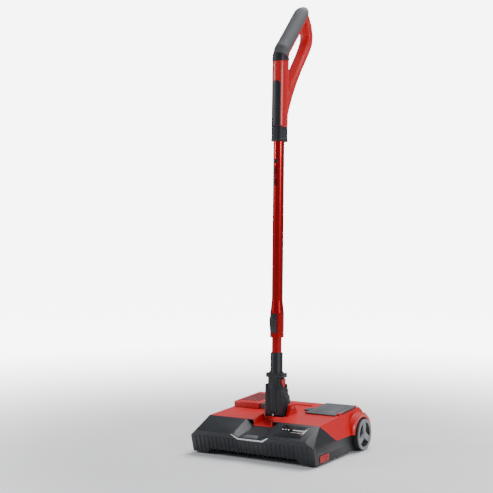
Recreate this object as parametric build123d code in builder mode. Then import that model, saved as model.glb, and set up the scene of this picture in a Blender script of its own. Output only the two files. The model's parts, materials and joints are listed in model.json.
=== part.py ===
"""Cordless carpet sweeper: a motor-driven roller head on two rear wheels with a
tilting telescopic handle.  Millimetres, +X right, +Y back, +Z up.  The origin is on
the floor at the middle of the head's footprint."""
from build123d import *
import os
from math import atan, cos, degrees, hypot, radians, sin, tan

os.makedirs("parts", exist_ok=True)

# ---------------------------------------------------------------- driving sizes
wall = 2.5                  # moulded wall of the head
gap = 0.4                   # clearance round a moving moulded piece
run_fit = 0.05              # radial running fit of a shaft in its hole

# head outline
head_depth = 312            # nose to the back of the wheel arches
shoulder_half = 173.5       # half width at the shoulder line
shoulder_z = 46
crease_half = 155           # half width of the top where the side bevel starts
crease_z = 95
nose_top = 60               # top edge of the ribbed front wall
nose_half = 153             # half length of that edge
slope_run = 65              # depth of the dark front slope
top_front = 88              # top surface at its front edge
top_run = 228               # depth of the red top surface
top_rear = 102              # top surface at its rear edge
body_depth = 304            # nose to the rear wall
front_lean = 16             # how far the front wall leans back at its foot
foot_z = 4                  # lowest edge of the front corners
skirt_rear_z = 10           # lower edge of the side skirts at the back
side_joint = 122            # where the red side panel meets the shoulder line

# roller
roller_y_in = 58            # roller axis behind the nose
roller_z = 26
bristle_r = 25.5
core_r = 13
shaft_r = 4
tunnel_r = 28
rail_in = 144.5             # inner face of the plates that carry the roller and the bin
rail_t = 2.5
roller_gap = 3              # roller end to the plate

# belt drive
motor_y_in = 135
motor_z = 75
motor_r = 13
motor_len = 54
motor_boss_r = 4
pulley_w = 6
roller_pulley_r = 11
motor_pulley_r = 6
belt_t = 1.6

# wheels
wheel_r = 40
wheel_w = 20
wheel_y_in = 257
wheel_out = 186             # outer face of the wheel
arch_r = 44
arch_lip = 11               # width of the arch's lip
lip_out = 180               # outer face of the lip
axle_r = 4

# front rollers
caster_r = 8
caster_w = 9
caster_x = 155
caster_y_in = 100
caster_pin_r = 2

# dust bin
bin_half = 143
bin_front_in = 94
bin_low = 12.5
bin_high = 58
bin_wall = 2

# battery
batt_w = 78
batt_len = 131
batt_x = -115               # middle of the battery
batt_front_in = 173
batt_low = 66
batt_rise = 15              # battery top above the top surface

# storage tray and its lid
lid_w = 84
lid_len = 120
lid_x = 102
lid_front_in = 171
lid_t = 3.2
tray_deep = 30

# centre channel and handle pivot
channel_half = 36
channel_front_half = 24
channel_floor = 74
pivot_y_in = 150
pivot_z = 108
pivot_r = 4
ear_in = 29
ear_t = 8
ear_r = 12

# yoke, socket and tubes
tilt = 1.6                  # the parked handle leans back, degrees
tube_y_in = 132             # tube axis where it passes yoke_top
yoke_half = 25
yoke_deep = 33
yoke_low = 89
yoke_top = 157
cheek_top = 170
socket_half = 18
socket_deep = 30
socket_top = 187
flange_h = 13
sleeve_r = 15.6
sleeve_top = 249
spigot_r = 10.5
lower_tube_r = 12.6
lower_tube_top = 560
tube_wall = 1.2
bell_low = 287
bell_top = 349
bell_taper = 380
bell_r = 17.7
upper_tube_r = 14.1
upper_tube_top = 905

# handle
collar_low = 784
collar_top = 820
column_half = 17
column_front = -20
column_rear = 25
handle_wall = 2.5
inlay_half = 13
inlay_top = 938
inlay_t = 2.5
grip_half = 16.5
pad_t = 3

# deck over the bin, which carries the motor, boards and battery
deck_t = 1.5

# ---------------------------------------------------------------- places worked out
nose_y = -head_depth / 2
top_front_y = nose_y + slope_run
top_rear_y = top_front_y + top_run
rear_y = nose_y + body_depth
roller_y = nose_y + roller_y_in
motor_y = nose_y + motor_y_in
wheel_y = nose_y + wheel_y_in
caster_y = nose_y + caster_y_in
bin_front_y = nose_y + bin_front_in
batt_front_y = nose_y + batt_front_in
lid_front_y = nose_y + lid_front_in
pivot_y = nose_y + pivot_y_in
tube_y = nose_y + tube_y_in
rail_out = rail_in + rail_t
pulley_x = rail_out + 1 + pulley_w / 2
deck_z = bin_high + gap
deck_top = deck_z + deck_t
top_slope = atan((top_rear - top_front) / top_run)
top_plane = Plane(
    origin=(0, top_front_y, top_front), x_dir=(1, 0, 0),
    z_dir=(0, -sin(top_slope), cos(top_slope)),
)
front_len = hypot(front_lean, nose_top - foot_z)
front_plane = Plane(
    origin=(0, nose_y, nose_top), x_dir=(1, 0, 0),
    z_dir=(0, -(nose_top - foot_z) / front_len, -front_lean / front_len),
)
tube_plane = Plane(
    origin=(0, tube_y - yoke_top * tan(radians(tilt)), 0), x_dir=(1, 0, 0),
    z_dir=(0, sin(radians(tilt)), cos(radians(tilt))),
)
tube_side = Plane(origin=tube_plane.origin, x_dir=tube_plane.y_dir, z_dir=(1, 0, 0))


def on_top(y):
    """Distance up the sloping top plane of a point at this y."""
    return (y - top_front_y) / cos(top_slope)


def top_at(y):
    """Height of the top surface at this y."""
    return top_front + (y - top_front_y) * tan(top_slope)


def envelope(inset):
    """The head's closed outer form, moved inwards by inset."""
    corner = Vector(nose_half, nose_y, nose_top)
    crease = Vector(crease_at(top_front), top_front_y, top_front)
    shoulder = Vector(shoulder_half, nose_y + front_lean * 0.25, shoulder_z)
    outward = (crease - corner).cross(shoulder - corner)
    if outward.Z < 0:
        outward = outward * -1
    outward = outward.normalized()
    with BuildPart() as form:
        with BuildSketch(Plane.YZ):
            with BuildLine():
                Polyline(
                    (nose_y, nose_top), (top_front_y, top_front), (top_rear_y, top_rear),
                    (rear_y, top_rear - 10), (rear_y, skirt_rear_z),
                    (nose_y + front_lean, foot_z), close=True,
                )
            make_face()
            offset(amount=-inset, kind=Kind.INTERSECTION)
        extrude(amount=shoulder_half, both=True)
        with BuildSketch(Plane.XZ):
            with BuildLine():
                Polyline(
                    (-shoulder_half, 0), (-shoulder_half, shoulder_z),
                    (-crease_at(top_rear + 20), top_rear + 20),
                    (crease_at(top_rear + 20), top_rear + 20),
                    (shoulder_half, shoulder_z), (shoulder_half, 0), close=True,
                )
            make_face()
            offset(amount=-inset, kind=Kind.INTERSECTION)
        extrude(amount=head_depth, both=True, mode=Mode.INTERSECT)
        for side in (1, -1):
            cut = Plane(
                origin=(side * corner.X, corner.Y, corner.Z),
                z_dir=(side * outward.X, outward.Y, outward.Z),
            )
            split(bisect_by=cut.offset(-inset), keep=Keep.BOTTOM)
    return form.part


def crease_at(z):
    """Half width of the side bevel at this height."""
    return shoulder_half - (z - shoulder_z) * (shoulder_half - crease_half) / (crease_z - shoulder_z)


def side_block(points, half=shoulder_half + 20):
    """A block with this outline in the side view, reaching across the head."""
    with BuildPart() as block:
        with BuildSketch(Plane.YZ):
            with BuildLine():
                Polyline(*points, close=True)
            make_face()
        extrude(amount=half, both=True)
    return block.part


def channel_block(grow):
    """The space of the centre channel, grown outwards by grow."""
    with BuildPart() as block:
        with BuildSketch(Plane.XY.offset(channel_floor - grow)):
            with BuildLine():
                Polyline(
                    (-channel_front_half, top_front_y - 20), (channel_front_half, top_front_y - 20),
                    (channel_front_half, top_front_y), (channel_half, top_front_y + 42),
                    (channel_half, pivot_y + 112), (-channel_half, pivot_y + 112),
                    (-channel_half, top_front_y + 42), (-channel_front_half, top_front_y),
                    close=True,
                )
            make_face()
            offset(amount=max(grow, 0.001), kind=Kind.INTERSECTION)
        extrude(amount=60)
        with BuildSketch(Plane.YZ):
            with BuildLine():
                Polyline(
                    (top_front_y - 30, channel_floor - 2 - grow), (pivot_y + 45, channel_floor + 2 - grow),
                    (pivot_y + 112, top_rear - 4 - grow), (pivot_y + 112, top_rear + 40),
                    (top_front_y - 30, top_rear + 40), close=True,
                )
            make_face()
        extrude(amount=channel_half + 20, both=True, mode=Mode.INTERSECT)
    return block.part


def valley_block(grow):
    """The space of the valley in the front cover, grown outwards by grow."""
    with BuildPart() as block:
        for y, low, half, flare in (
            (nose_y - 1, nose_top - 8, 33, 1.9),
            (top_front_y + 0.01, channel_floor - 1, channel_front_half, 1.5),
        ):
            with BuildSketch(Plane.XZ.offset(-y)):
                with BuildLine():
                    Polyline(
                        (-half - grow, low - grow), (half + grow, low - grow),
                        (half + grow * 1.4 + 40 * flare, low + 40), (-half - grow * 1.4 - 40 * flare, low + 40),
                        close=True,
                    )
                make_face()
        loft(ruled=True)
    return block.part


front_region = [
    (nose_y - 10, 0), (nose_y - 10, 140), (top_front_y, 140), (top_front_y, top_front),
    (nose_y + side_joint, shoulder_z), (nose_y + 12, shoulder_z), (nose_y + 24, 0),
]
top_region = [
    (top_front_y, top_front), (top_front_y, 140), (nose_y + 340, 140),
    (nose_y + 340, shoulder_z), (nose_y + side_joint, shoulder_z),
]
base_region = [
    (nose_y + 12, shoulder_z), (nose_y + 340, shoulder_z), (nose_y + 340, 0), (nose_y + 24, 0),
]
outer_form = envelope(0)
inner_form = envelope(wall)

# ---------------------------------------------------------------- lamp lens
lens_w = 4.5
lens_half = 33
lens_reach = 50
lens_drop = 8
with BuildPart() as light_lens:
    with BuildSketch(front_plane):
        with BuildLine():
            low = -(lens_drop + lens_w) * front_len / (nose_top - foot_z)
            Polyline(
                (-lens_reach, 0), (-lens_half, low + lens_w), (lens_half, low + lens_w), (lens_reach, 0),
                (lens_reach + lens_w, 0), (lens_half + lens_w / 2, low), (-lens_half - lens_w / 2, low),
                (-lens_reach - lens_w, 0), close=True,
            )
        make_face()
    extrude(amount=-wall * 0.8)
    add(outer_form, mode=Mode.INTERSECT)

light_lens.part.label = "light_lens"
export_step(light_lens.part, "parts/light_lens.step")

# ---------------------------------------------------------------- front cover
rib_pitch = 12
rib_count = 27
groove_w = 7
groove_deep = 1.1
cut_half = 124
cut_z = 15
tab_half = 22
tab_deep = 13
cover_post_x = 100
screw_r = 1.6
post_r = 4

with BuildPart() as front_cover:
    add(outer_form)
    add(inner_form, mode=Mode.SUBTRACT)
    add(valley_block(wall) & outer_form)
    add(valley_block(0), mode=Mode.SUBTRACT)
    with BuildSketch(Plane.XY.offset(roller_z + tunnel_r + wall)):
        with Locations((cover_post_x, roller_y), (-cover_post_x, roller_y)):
            Circle(post_r)
            Circle(screw_r, mode=Mode.SUBTRACT)
    extrude(amount=26.5)
    add(side_block(front_region), mode=Mode.INTERSECT)
    with BuildSketch(front_plane):
        with GridLocations(rib_pitch, 0, rib_count, 1):
            with Locations((0, -34)):
                Rectangle(groove_w, 44)
    extrude(amount=-groove_deep, mode=Mode.SUBTRACT)
    with BuildSketch(Plane.XZ.offset(-nose_y + 5)):
        with BuildLine():
            Polyline(
                (-cut_half, cut_z), (cut_half, cut_z), (cut_half + 6, 0), (-cut_half - 6, 0), close=True
            )
        make_face()
    extrude(amount=-40, mode=Mode.SUBTRACT)
    add(light_lens.part, mode=Mode.SUBTRACT)
    add(channel_block(0), mode=Mode.SUBTRACT)

front_cover.part.label = "front_cover"
export_step(front_cover.part, "parts/front_cover.step")

# ---------------------------------------------------------------- lamp and label
tab_low = nose_top - 8
with BuildPart() as lamp_cover:
    with BuildSketch(Plane.YZ):
        with BuildLine():
            Polyline(
                (nose_y + 4, tab_low + 1.2), (nose_y + 4, tab_low + 4), (nose_y + 5.5, tab_low + 5),
                (nose_y + 4 + tab_deep, tab_low + 8), (nose_y + 4 + tab_deep, tab_low + 4), close=True,
            )
        make_face()
    extrude(amount=tab_half, both=True)
    with BuildSketch(Plane.XY.offset(tab_low)):
        with BuildLine():
            Polyline(
                (-tab_half, nose_y), (tab_half, nose_y), (tab_half - 6, nose_y + 20),
                (6 - tab_half, nose_y + 20), close=True,
            )
        make_face()
    extrude(amount=20, mode=Mode.INTERSECT)
    add(valley_block(0), mode=Mode.INTERSECT)

lamp_cover.part.label = "lamp_cover"
export_step(lamp_cover.part, "parts/lamp_cover.step")

board_t = 1.6
with BuildPart() as light_board:
    with BuildSketch(front_plane.offset(-wall - 0.3)):
        with Locations((0, -16)):
            Rectangle(60, 8)
    extrude(amount=-board_t)

light_board.part.label = "light_board"
export_step(light_board.part, "parts/light_board.step")

slope_angle = atan((top_front - nose_top) / slope_run)
slope_plane = Plane(
    origin=(0, nose_y, nose_top), x_dir=(1, 0, 0), z_dir=(0, -sin(slope_angle), cos(slope_angle))
)
plate_t = 0.8
with BuildPart() as label_plate:
    with BuildSketch(slope_plane):
        with BuildLine():
            Polyline((60, 14), (132, 14), (138, 60), (66, 60), close=True)
        make_face()
        fillet(vertices(), 2)
    extrude(amount=plate_t)

label_plate.part.label = "label_plate"
export_step(label_plate.part, "parts/label_plate.step")

# ---------------------------------------------------------------- top shell
bay_gap = 0.6
bay_half = batt_w / 2 + bay_gap
latch_w = 18
latch_len = 30
latch_x = batt_x + batt_w / 2 + 1.5 + latch_w / 2
latch_y = batt_front_y + 4 + latch_len / 2
lid_latch_w = 18
lid_latch_len = 24
lid_latch_x = lid_x - lid_w / 2 - 1 - lid_latch_w / 2
lid_latch_y = lid_front_y + 40
lid_latch_travel = 3
boss_x = 160
post_h = 19
screw_bite = 14             # length of a housing screw in its post
head_r = 3
well_in = rail_out + 16
pan_z = 10
pan_t = 2
hinge_r = 1.5
hinge_x = lid_x + lid_w / 2 + 3
knuckle_len = 8
knuckle_r = 3
knuckle_ys = (14, lid_len - 14)
hinge_h = lid_t + 0.2       # height of the hinge pin above the top surface


def well(side, radius, inner):
    """A wheel well: a cylinder from inner outwards past the wheel."""
    with BuildPart() as block:
        with BuildSketch(Plane.YZ.offset(side * inner)):
            with Locations((wheel_y, wheel_r)):
                Circle(radius)
        extrude(amount=side * (lip_out + 20 - inner))
    return block.part


def well_wall(side):
    """The round inner wall of a wheel well."""
    with BuildPart() as disc:
        with BuildSketch(Plane.YZ.offset(side * (well_in - wall))):
            with Locations((wheel_y, wheel_r)):
                Circle(arch_r + wall)
            with Locations((wheel_y, pan_z - 30)):
                Rectangle(120, 60, mode=Mode.SUBTRACT)
        extrude(amount=side * wall)
    return disc.part


def arch(side):
    """The flared lip of a wheel arch."""
    with BuildPart() as lip:
        with BuildSketch(Plane.YZ.offset(side * well_in)):
            with Locations((wheel_y, wheel_r)):
                Circle(arch_r + arch_lip)
        extrude(amount=side * (lip_out - well_in))
        chamfer(lip.edges().group_by(Axis.X)[-1 if side > 0 else 0], 3)
        add(side_block([
            (nose_y, shoulder_z), (nose_y, 140), (nose_y + 340, 140), (nose_y + 340, shoulder_z),
        ]), mode=Mode.INTERSECT)
    return lip.part


with BuildPart() as ears:
    for side in (1, -1):
        with BuildSketch(Plane.YZ.offset(side * ear_in)):
            with BuildLine():
                Polyline(
                    (pivot_y - 26, channel_floor), (pivot_y - 24, channel_floor + 12),
                    (pivot_y - 8, pivot_z + 8), (pivot_y + 8, pivot_z + 8), (pivot_y + 26, channel_floor + 20),
                    (pivot_y + 28, channel_floor), close=True,
                )
            make_face()
            with Locations((pivot_y, pivot_z)):
                Circle(ear_r)
        extrude(amount=side * ear_t)

with BuildPart() as saddle:
    add(channel_block(wall) & outer_form)
    add(channel_block(0), mode=Mode.SUBTRACT)
    add(side_block([
        (top_front_y, 0), (top_front_y, 140), (nose_y + side_joint, 140), (nose_y + side_joint, 0),
    ]), mode=Mode.INTERSECT)
    add(front_cover.part, mode=Mode.SUBTRACT)

with BuildPart() as top_shell:
    add(outer_form)
    add(inner_form, mode=Mode.SUBTRACT)
    add(channel_block(wall) & outer_form)
    for side in (1, -1):
        add(arch(side))
    add(channel_block(0), mode=Mode.SUBTRACT)
    add(ears.part)
    with BuildSketch(Plane.XY.offset(shoulder_z)):
        with Locations(*[(s * boss_x, nose_y + d) for s in (1, -1) for d in (165, 205)]):
            Circle(post_r)
            Circle(screw_r, mode=Mode.SUBTRACT)
    extrude(amount=post_h)
    for side in (1, -1):
        add(well(side, arch_r, well_in), mode=Mode.SUBTRACT)
        add(well_wall(side), mode=Mode.SUBTRACT)
    add(side_block(top_region), mode=Mode.INTERSECT)
    add(saddle.part)
    with BuildSketch(Plane.XY.offset(shoulder_z)):
        with Locations((batt_x, batt_front_y - bay_gap + 100)):
            Rectangle(2 * bay_half, 200)
    extrude(amount=100, mode=Mode.SUBTRACT)
    with BuildSketch(top_plane.offset(-wall * 2)):
        with Locations((lid_x, on_top(lid_front_y) + lid_len / 2)):
            Rectangle(lid_w - 6, lid_len - 6)
        with Locations((latch_x, on_top(latch_y))):
            Rectangle(latch_w + 2 * gap, latch_len + 2 * gap)
        with Locations((lid_latch_x - lid_latch_travel / 2, on_top(lid_latch_y))):
            Rectangle(lid_latch_w - 5 - lid_latch_travel, lid_latch_len - 8)
    extrude(amount=wall * 4, mode=Mode.SUBTRACT)
    with BuildSketch(Plane.YZ.offset(-ear_in - ear_t - 5)):
        with Locations((pivot_y, pivot_z)):
            Circle(pivot_r)
    extrude(amount=2 * (ear_in + ear_t + 5), mode=Mode.SUBTRACT)
    with BuildSketch(Plane.XY.offset(bin_low - gap)):
        with Locations((0, rear_y)):
            Rectangle(2 * rail_out, 30)
    extrude(amount=bin_high + 2 * gap - bin_low, mode=Mode.SUBTRACT)
    for d in knuckle_ys:
        with BuildSketch(top_plane.offset(0)):
            with Locations((hinge_x + 3, on_top(lid_front_y) + d)):
                Rectangle(6, knuckle_len)
        extrude(amount=hinge_h + hinge_r + 1.2)
    with BuildSketch(Plane(top_plane.origin, x_dir=(1, 0, 0), z_dir=-top_plane.y_dir)):
        with Locations((hinge_x + 2, hinge_h)):
            Circle(hinge_r)
    extrude(amount=-top_run, mode=Mode.SUBTRACT)

top_shell.part.label = "top_shell"
export_step(top_shell.part, "parts/top_shell.step")

# ---------------------------------------------------------------- base housing
window_y = (nose_y + 35, nose_y + 79)
window_z = (8, 24)
with BuildPart() as base_housing:
    add(outer_form)
    add(inner_form, mode=Mode.SUBTRACT)
    add(side_block(base_region), mode=Mode.INTERSECT)
    with BuildSketch(Plane.XY):
        with Locations((0, nose_y + (roller_y_in + 8) / 2 + 10)):
            Rectangle(2 * (shoulder_half - wall), roller_y_in + 38)
        with Locations((0, rear_y)):
            Rectangle(2 * rail_out, 2 * (rear_y - bin_front_y) + 20)
    extrude(amount=pan_z + 3, mode=Mode.SUBTRACT)
    with BuildSketch(Plane.XY.offset(pan_z)):
        with Locations((0, (bin_front_y + rear_y) / 2 - 1)):
            Rectangle(2 * rail_out, rear_y - bin_front_y + 2)
        with Locations((0, nose_y + 150)):
            Rectangle(2 * (shoulder_half - wall / 2), 120)
        with Locations((0, rear_y - 25)):
            Rectangle(2 * well_in, 50)
    extrude(amount=pan_t)
    for side in (1, -1):
        with BuildSketch(Plane.YZ.offset(side * rail_in)):
            with BuildLine():
                Polyline(
                    (roller_y - tunnel_r - wall, roller_z - 8), (roller_y - tunnel_r - wall, roller_z + 18),
                    (roller_y - 14, roller_z + tunnel_r + wall), (roller_y + 14, roller_z + tunnel_r + wall),
                    (bin_front_y, deck_z), (rear_y, deck_z), (rear_y, pan_z),
                    (roller_y + 20, pan_z), (roller_y + 12, roller_z - 12), (roller_y - 12, roller_z - 12),
                    close=True,
                )
            make_face()
        extrude(amount=side * rail_t)
        add(well(side, arch_r, well_in), mode=Mode.SUBTRACT)
        add(well_wall(side))
        with BuildSketch(Plane.YZ.offset(side * rail_out)):
            with Locations((wheel_y, wheel_r)):
                Circle(9)
        extrude(amount=side * 14)
    with BuildSketch(Plane.YZ.offset(-rail_out)):
        with Locations((roller_y, roller_z)):
            Circle(tunnel_r + wall)
            Circle(tunnel_r, mode=Mode.SUBTRACT)
        with BuildLine():
            Polyline(
                (roller_y, roller_z - 6), (roller_y - 60, roller_z - 6), (roller_y - 60, -20),
                (roller_y + 60, -20), (roller_y + 60, roller_z + 14), close=True,
            )
        make_face(mode=Mode.SUBTRACT)
    extrude(amount=2 * rail_out)
    with BuildSketch(Plane.XY.offset(pan_z)):
        with Locations(*[(s * boss_x, nose_y + d) for s in (1, -1) for d in (165, 205)]):
            Circle(post_r)
    extrude(amount=shoulder_z - pan_z)
    with BuildSketch(Plane.XY):
        with Locations(*[(s * boss_x, nose_y + d) for s in (1, -1) for d in (165, 205)]):
            Circle(screw_r)
        with Locations((cover_post_x, roller_y), (-cover_post_x, roller_y)):
            Circle(screw_r)
        with Locations((caster_x, caster_y), (-caster_x, caster_y)):
            Rectangle(caster_w + 2, 2 * caster_r + 3)
    extrude(amount=80, mode=Mode.SUBTRACT)
    with BuildSketch(Plane.XY):
        with Locations(*[(s * boss_x, nose_y + d) for s in (1, -1) for d in (165, 205)]):
            Circle(head_r + gap / 2)
    extrude(amount=pan_z, mode=Mode.SUBTRACT)
    with BuildSketch(Plane.YZ.offset(-wheel_out)):
        with Locations((wheel_y, wheel_r)):
            Circle(axle_r)
    extrude(amount=2 * wheel_out, mode=Mode.SUBTRACT)
    with BuildSketch(Plane.XY.offset(pan_z + pan_t)):
        with Locations((0, rear_y)):
            Rectangle(2 * rail_in, 3 * wall)
    extrude(amount=shoulder_z, mode=Mode.SUBTRACT)
    with BuildSketch(Plane.YZ.offset(rail_in - 1)):
        with Locations((roller_y, roller_z)):
            Circle(bristle_r + 1.3)
    extrude(amount=8, mode=Mode.SUBTRACT)
    with BuildSketch(Plane.YZ.offset(-rail_out - 1)):
        with Locations((roller_y, roller_z)):
            Circle(8)
    extrude(amount=rail_t + 2, mode=Mode.SUBTRACT)
    with BuildSketch(Plane.YZ.offset(shoulder_half - wall - 1)):
        with Locations(((window_y[0] + window_y[1]) / 2, (window_z[0] + window_z[1]) / 2)):
            Rectangle(window_y[1] - window_y[0] + 2 * gap, window_z[1] - window_z[0] + 2 * gap)
    extrude(amount=wall + 4, mode=Mode.SUBTRACT)
    for side in (1, -1):
        with BuildSketch(Plane.XY.offset(pan_z)):
            with Locations((side * (caster_x - caster_w / 2 - 2), caster_y), (side * (caster_x + caster_w / 2 + 2), caster_y)):
                Rectangle(2, 12)
        extrude(amount=8)
        with BuildSketch(Plane.YZ.offset(side * (caster_x - caster_w / 2 - 3))):
            with Locations((caster_y, caster_r)):
                Circle(caster_pin_r)
        extrude(amount=side * (caster_w + 6), mode=Mode.SUBTRACT)

base_housing.part.label = "base_housing"
export_step(base_housing.part, "parts/base_housing.step")

# ---------------------------------------------------------------- brush roller
core_half = rail_in - roller_gap
tuft_rows = 5
tuft_count = 22
tuft_r = 2.4
twist = 150                 # turn of each bristle row over its length, degrees
with BuildPart() as roller_core:
    with BuildSketch(Plane.YZ.offset(-core_half)):
        with Locations((roller_y, roller_z)):
            Circle(core_r)
    extrude(amount=2 * core_half)
    with BuildSketch(Plane.YZ.offset(-pulley_x - pulley_w / 2)):
        with Locations((roller_y, roller_z)):
            Circle(shaft_r)
    extrude(amount=pulley_x + pulley_w / 2 + rail_out + 3)

roller_core.part.label = "roller_core"
export_step(roller_core.part, "parts/roller_core.step")

with BuildPart() as bristles:
    for row in range(tuft_rows):
        for i in range(tuft_count):
            x = (i + 0.5) * 2 * (core_half - 3) / tuft_count - core_half + 3
            angle = row * 360 / tuft_rows + twist * i / tuft_count
            direction = (0, cos(radians(angle)), sin(radians(angle)))
            root = Plane(origin=(x, roller_y, roller_z), z_dir=direction).offset(core_r - 0.5)
            with BuildSketch(root):
                Circle(tuft_r)
            extrude(amount=bristle_r - core_r + 0.5, taper=-3)
    with BuildSketch(Plane.YZ.offset(-core_half)):
        with Locations((roller_y, roller_z)):
            Circle(core_r)
    extrude(amount=2 * core_half, mode=Mode.SUBTRACT)

bristles.part.label = "bristles"
export_step(bristles.part, "parts/bristles.step")

pulley_bore = shaft_r
with BuildPart() as roller_pulley:
    with BuildSketch(Plane.YZ.offset(-pulley_x - pulley_w / 2)):
        with Locations((roller_y, roller_z)):
            Circle(roller_pulley_r)
            Circle(pulley_bore, mode=Mode.SUBTRACT)
    extrude(amount=pulley_w)

roller_pulley.part.label = "roller_pulley"
export_step(roller_pulley.part, "parts/roller_pulley.step")

bearing_r = 8
for name, bearing_x in (("roller_bearing_left", -rail_out), ("roller_bearing_right", rail_in)):
    with BuildPart() as bearing:
        with BuildSketch(Plane.YZ.offset(bearing_x)):
            with Locations((roller_y, roller_z)):
                Circle(bearing_r)
                Circle(shaft_r + run_fit, mode=Mode.SUBTRACT)
        extrude(amount=rail_t)
    bearing.part.label = name
    export_step(bearing.part, f"parts/{name}.step")

cap_r = bristle_r + 1.3
with BuildPart() as roller_end_cap:
    with BuildSketch(Plane.YZ.offset(rail_in)):
        with Locations((roller_y, roller_z)):
            Circle(cap_r)
            Circle(bearing_r, mode=Mode.SUBTRACT)
    extrude(amount=rail_t)
    with BuildSketch(Plane.YZ.offset(rail_out)):
        with Locations((roller_y, roller_z)):
            Circle(cap_r - 2)
            Circle(shaft_r + 2, mode=Mode.SUBTRACT)
    extrude(amount=2)
    with BuildSketch(Plane.YZ.offset(rail_out + 2)):
        with Locations((roller_y, roller_z)):
            Rectangle(36, 6)
            Circle(shaft_r + 2, mode=Mode.SUBTRACT)
    extrude(amount=8)

roller_end_cap.part.label = "roller_end_cap"
export_step(roller_end_cap.part, "parts/roller_end_cap.step")

release_travel = 3
release_in = 9              # depth of the release button inside the skirt
with BuildPart() as roller_release:
    with BuildSketch(Plane.YZ.offset(shoulder_half - release_in)):
        with Locations(((window_y[0] + window_y[1]) / 2, (window_z[0] + window_z[1]) / 2)):
            Rectangle(window_y[1] - window_y[0], window_z[1] - window_z[0])
    extrude(amount=release_in + 1.5)
    fillet(roller_release.edges().filter_by(Axis.X), 2)
    with BuildSketch(Plane.YZ.offset(shoulder_half + 1.5)):
        with Locations(((window_y[0] + window_y[1]) / 2, (window_z[0] + window_z[1]) / 2)):
            with GridLocations(0, 3.2, 1, 4):
                Rectangle(window_y[1] - window_y[0] - 8, 1.4)
    extrude(amount=-1, mode=Mode.SUBTRACT)

roller_release.part.label = "roller_release"
export_step(roller_release.part, "parts/roller_release.step")

# ---------------------------------------------------------------- deck
with BuildPart() as inner_deck:
    with BuildSketch(Plane.XY.offset(deck_z)):
        with Locations((0, (bin_front_y + rear_y - wall) / 2 - 0.5)):
            Rectangle(2 * rail_out, rear_y - wall - bin_front_y - 1)
    extrude(amount=deck_t)
    with BuildSketch(Plane.YZ.offset(-rail_out)):
        with Locations((motor_y, motor_z)):
            Circle(motor_r + 2)
        with Locations((motor_y, (motor_z + deck_z) / 2)):
            Rectangle(2 * motor_r + 4, motor_z - deck_z)
        with Locations((motor_y, motor_z)):
            Circle(motor_boss_r, mode=Mode.SUBTRACT)
    extrude(amount=rail_t)

inner_deck.part.label = "inner_deck"
export_step(inner_deck.part, "parts/inner_deck.step")

# ---------------------------------------------------------------- motor and belt
with BuildPart() as brush_motor:
    with BuildSketch(Plane.YZ.offset(-rail_in)):
        with Locations((motor_y, motor_z)):
            Circle(motor_r)
    extrude(amount=motor_len)
    chamfer(brush_motor.edges().filter_by(GeomType.CIRCLE), 1)
    with BuildSketch(Plane.YZ.offset(-rail_in)):
        with Locations((motor_y, motor_z)):
            Circle(1.6)
    extrude(amount=motor_len, mode=Mode.SUBTRACT)

brush_motor.part.label = "brush_motor"
export_step(brush_motor.part, "parts/brush_motor.step")

motor_shaft_r = 1.5
with BuildPart() as motor_rotor:
    with BuildSketch(Plane.YZ.offset(-pulley_x - pulley_w / 2)):
        with Locations((motor_y, motor_z)):
            Circle(motor_shaft_r)
    extrude(amount=pulley_x + pulley_w / 2 - rail_in + motor_len)

motor_rotor.part.label = "motor_shaft"
export_step(motor_rotor.part, "parts/motor_shaft.step")

with BuildPart() as motor_pulley:
    with BuildSketch(Plane.YZ.offset(-pulley_x - pulley_w / 2)):
        with Locations((motor_y, motor_z)):
            Circle(motor_pulley_r)
            Circle(motor_shaft_r, mode=Mode.SUBTRACT)
    extrude(amount=pulley_w)

motor_pulley.part.label = "motor_pulley"
export_step(motor_pulley.part, "parts/motor_pulley.step")

belt_gap = 0.3
with BuildPart() as drive_belt:
    with BuildSketch(Plane.YZ.offset(-pulley_x - pulley_w / 2 + 0.5)):
        with BuildSketch(mode=Mode.PRIVATE) as ends:
            with Locations((roller_y, roller_z)):
                Circle(roller_pulley_r + belt_gap + belt_t)
            with Locations((motor_y, motor_z)):
                Circle(motor_pulley_r + belt_gap + belt_t)
        with BuildSketch(mode=Mode.PRIVATE) as hollow_ends:
            with Locations((roller_y, roller_z)):
                Circle(roller_pulley_r + belt_gap)
            with Locations((motor_y, motor_z)):
                Circle(motor_pulley_r + belt_gap)
        make_hull(ends.edges())
        make_hull(hollow_ends.edges(), mode=Mode.SUBTRACT)
    extrude(amount=pulley_w - 1)

drive_belt.part.label = "drive_belt"
export_step(drive_belt.part, "parts/drive_belt.step")

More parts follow.
